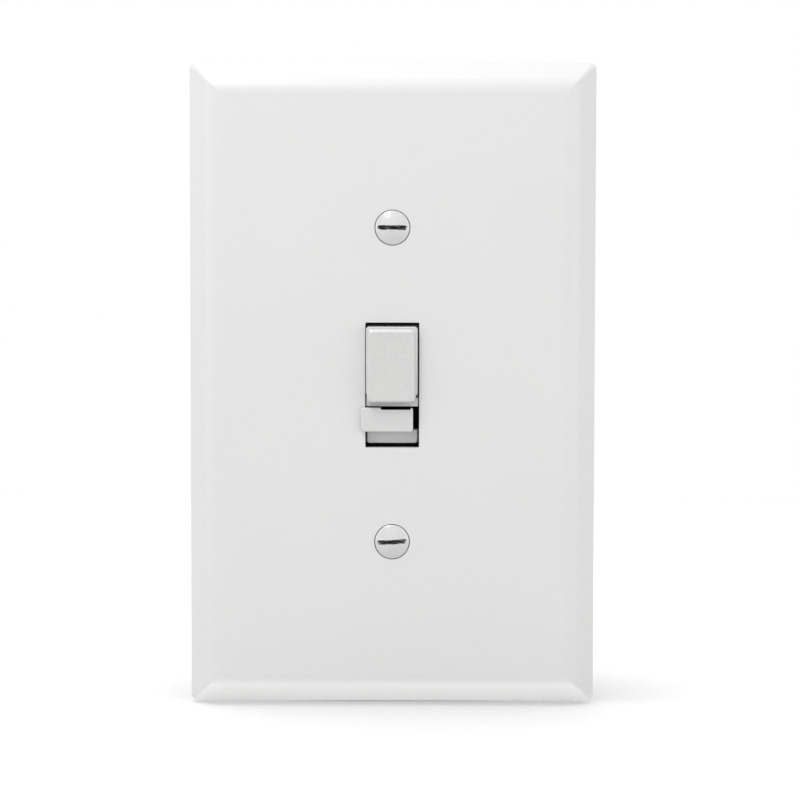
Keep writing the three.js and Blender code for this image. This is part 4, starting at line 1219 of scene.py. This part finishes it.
def make_varistor():
    cad = Limits("varistor")
    r = cad.width / 2
    half = cad.height / 2
    middle = cad.y1 - r
    steps, segments = 12, 56
    rings = []
    for step in range(steps + 1):
        angle = math.pi * step / steps
        flat = math.copysign(abs(math.cos(angle)) ** 0.7, math.cos(angle))
        spread = max(0.02, math.sin(angle) ** 0.45)
        rings.append([(cad.x + r * spread * math.cos(TAU * k / segments),
                       middle + r * spread * math.sin(TAU * k / segments),
                       cad.z + half * flat) for k in range(segments)])
    wires = [paint(tube([(cad.x + side * 2.5, cad.y0 - 0.35, cad.z + side * 0.8),
                         (cad.x + side * 2.5, middle - 3, cad.z + side * 0.8)], 0.38, 10), 1)
             for side in (-1, 1)]
    disc = to_object("varistor_disc", gather(solid_from_rings(rings), *wires))
    add_piece(disc, "varistor_blue", ["varistor"], extra=("solder",))


def make_tubes():
    cad = Limits("fuse")
    r = cad.height / 2
    half = cad.width / 2
    profile = [(0.6, -half), (r - 0.1, -half), (r, -half + 0.12), (r, -half + 2.6),
               (r - 0.25, -half + 2.75), (r - 0.25, half - 2.75), (r, half - 2.6),
               (r, half - 0.12), (r - 0.1, half), (0.6, half)]
    fuse = to_object("fuse_tube", turned(profile, 48))
    for polygon in fuse.data.polygons:
        if abs(polygon.center.y / MM) > half - 2.75:
            polygon.material_index = 1
    place(fuse, at(cad.x, cad.y, cad.z, 90, "Z"))
    add_piece(fuse, "ceramic", ["fuse"], extra=("nickel",))
    for i in (1, 2):
        cad = Limits(f"resistor_{i}")
        r = cad.height / 2
        half = cad.width / 2
        thin = r - 0.22
        profile = [(0.3, -half), (0.32, -half + 0.5), (r - 0.25, -half + 0.7),
                   (r, -half + 1.1), (r, -half + 1.9), (thin, -half + 2.3),
                   (thin, -0.9), (thin, -0.4), (thin, 0.1), (thin, 0.6), (thin, 1.0),
                   (r, half - 1.9), (r, half - 1.5), (r, half - 1.1), (r - 0.25, half - 0.7),
                   (0.32, half - 0.5), (0.3, half)]
        body = to_object(f"resistor_{i}_body", turned(profile, 40))
        for polygon in body.data.polygons:
            y = polygon.center.y / MM
            if abs(y) > half - 0.55:
                polygon.material_index = 1
            elif -0.9 < y < -0.4:
                polygon.material_index = 2
            elif 0.1 < y < 0.6:
                polygon.material_index = 3
        place(body, at(cad.x, cad.y, cad.z, 90, "Z"))
        add_piece(body, "resistor_tan", [f"resistor_{i}"],
                  extra=("solder", "band_brown", "band_red"))


def make_chip():
    cad = Limits("control_chip")
    x, z = cad.x, cad.z
    parts = [bevelled_box((x - 2.6, x + 2.6), (cad.y0 + 0.3, cad.y1), (cad.z0, cad.z1), 0.22, 2)]
    for row in range(7):
        spot = z + (row - 3) * 1.27
        for side in (-1, 1):
            points = [(x + side * reach, y, spot) for reach, y in (
                (2.4, cad.y1 - 1.1), (2.95, cad.y1 - 1.1), (3.15, cad.y1 - 1.3),
                (3.25, cad.y0 + 0.35), (3.4, cad.y0 + 0.18), (3.75, cad.y0 + 0.17))]
            parts.append(paint(tube(points, 0.17, 6), 1))
    chip = to_object("control_chip_package", gather(*parts))
    add_piece(chip, "package_black", ["control_chip"], extra=("solder",))


# ---- the scene ----

add_camera()
add_world()
add_floor()
PLATE_PIECE = make_wall_plate()
make_plate_screws()
make_bezel()
make_button()
make_spring()
make_tab()
make_cutoff_contacts()
make_strap()
make_box_screws()
make_small_screws()
make_front_cover()
make_housing()
make_terminals()
make_heat_sinking()
make_tact_switch()
make_board()
make_choke()
make_capacitors()
make_varistor()
make_tubes()
make_chip()
PIECES = [obj for obj in bpy.data.objects if obj.type == "MESH" and obj.name != "floor"]
BESIDE_PLATE = [obj for obj in PIECES if obj != PLATE_PIECE] + [bpy.data.objects["floor"]]
# The plate's bevel would burn out under the whole overhead light, so it gets a weaker one.
add_area_light("overhead", OVERHEAD_SPOT, (0, 0, 0), OVERHEAD_SIZE, 4.8, BESIDE_PLATE, True)
add_area_light("overhead_plate", OVERHEAD_SPOT, (0, 0, 0), OVERHEAD_SIZE, 2.6, [PLATE_PIECE])
add_area_light("key", (-0.13, -0.19, 0.36), (0, 0, 0), 0.14, 0.75, PIECES)
add_area_light("left_fill", (-0.60, -0.25, 0.0), (0, 0, 0), 0.5, 0.66)
add_area_light("right_fill", (0.60, -0.25, 0.0), (0, 0, 0), 0.5, 1.12)
add_area_light("edge_fill", (0, -0.06, -0.42), (0, 0, -0.06), 0.3, 0.86, [PLATE_PIECE])
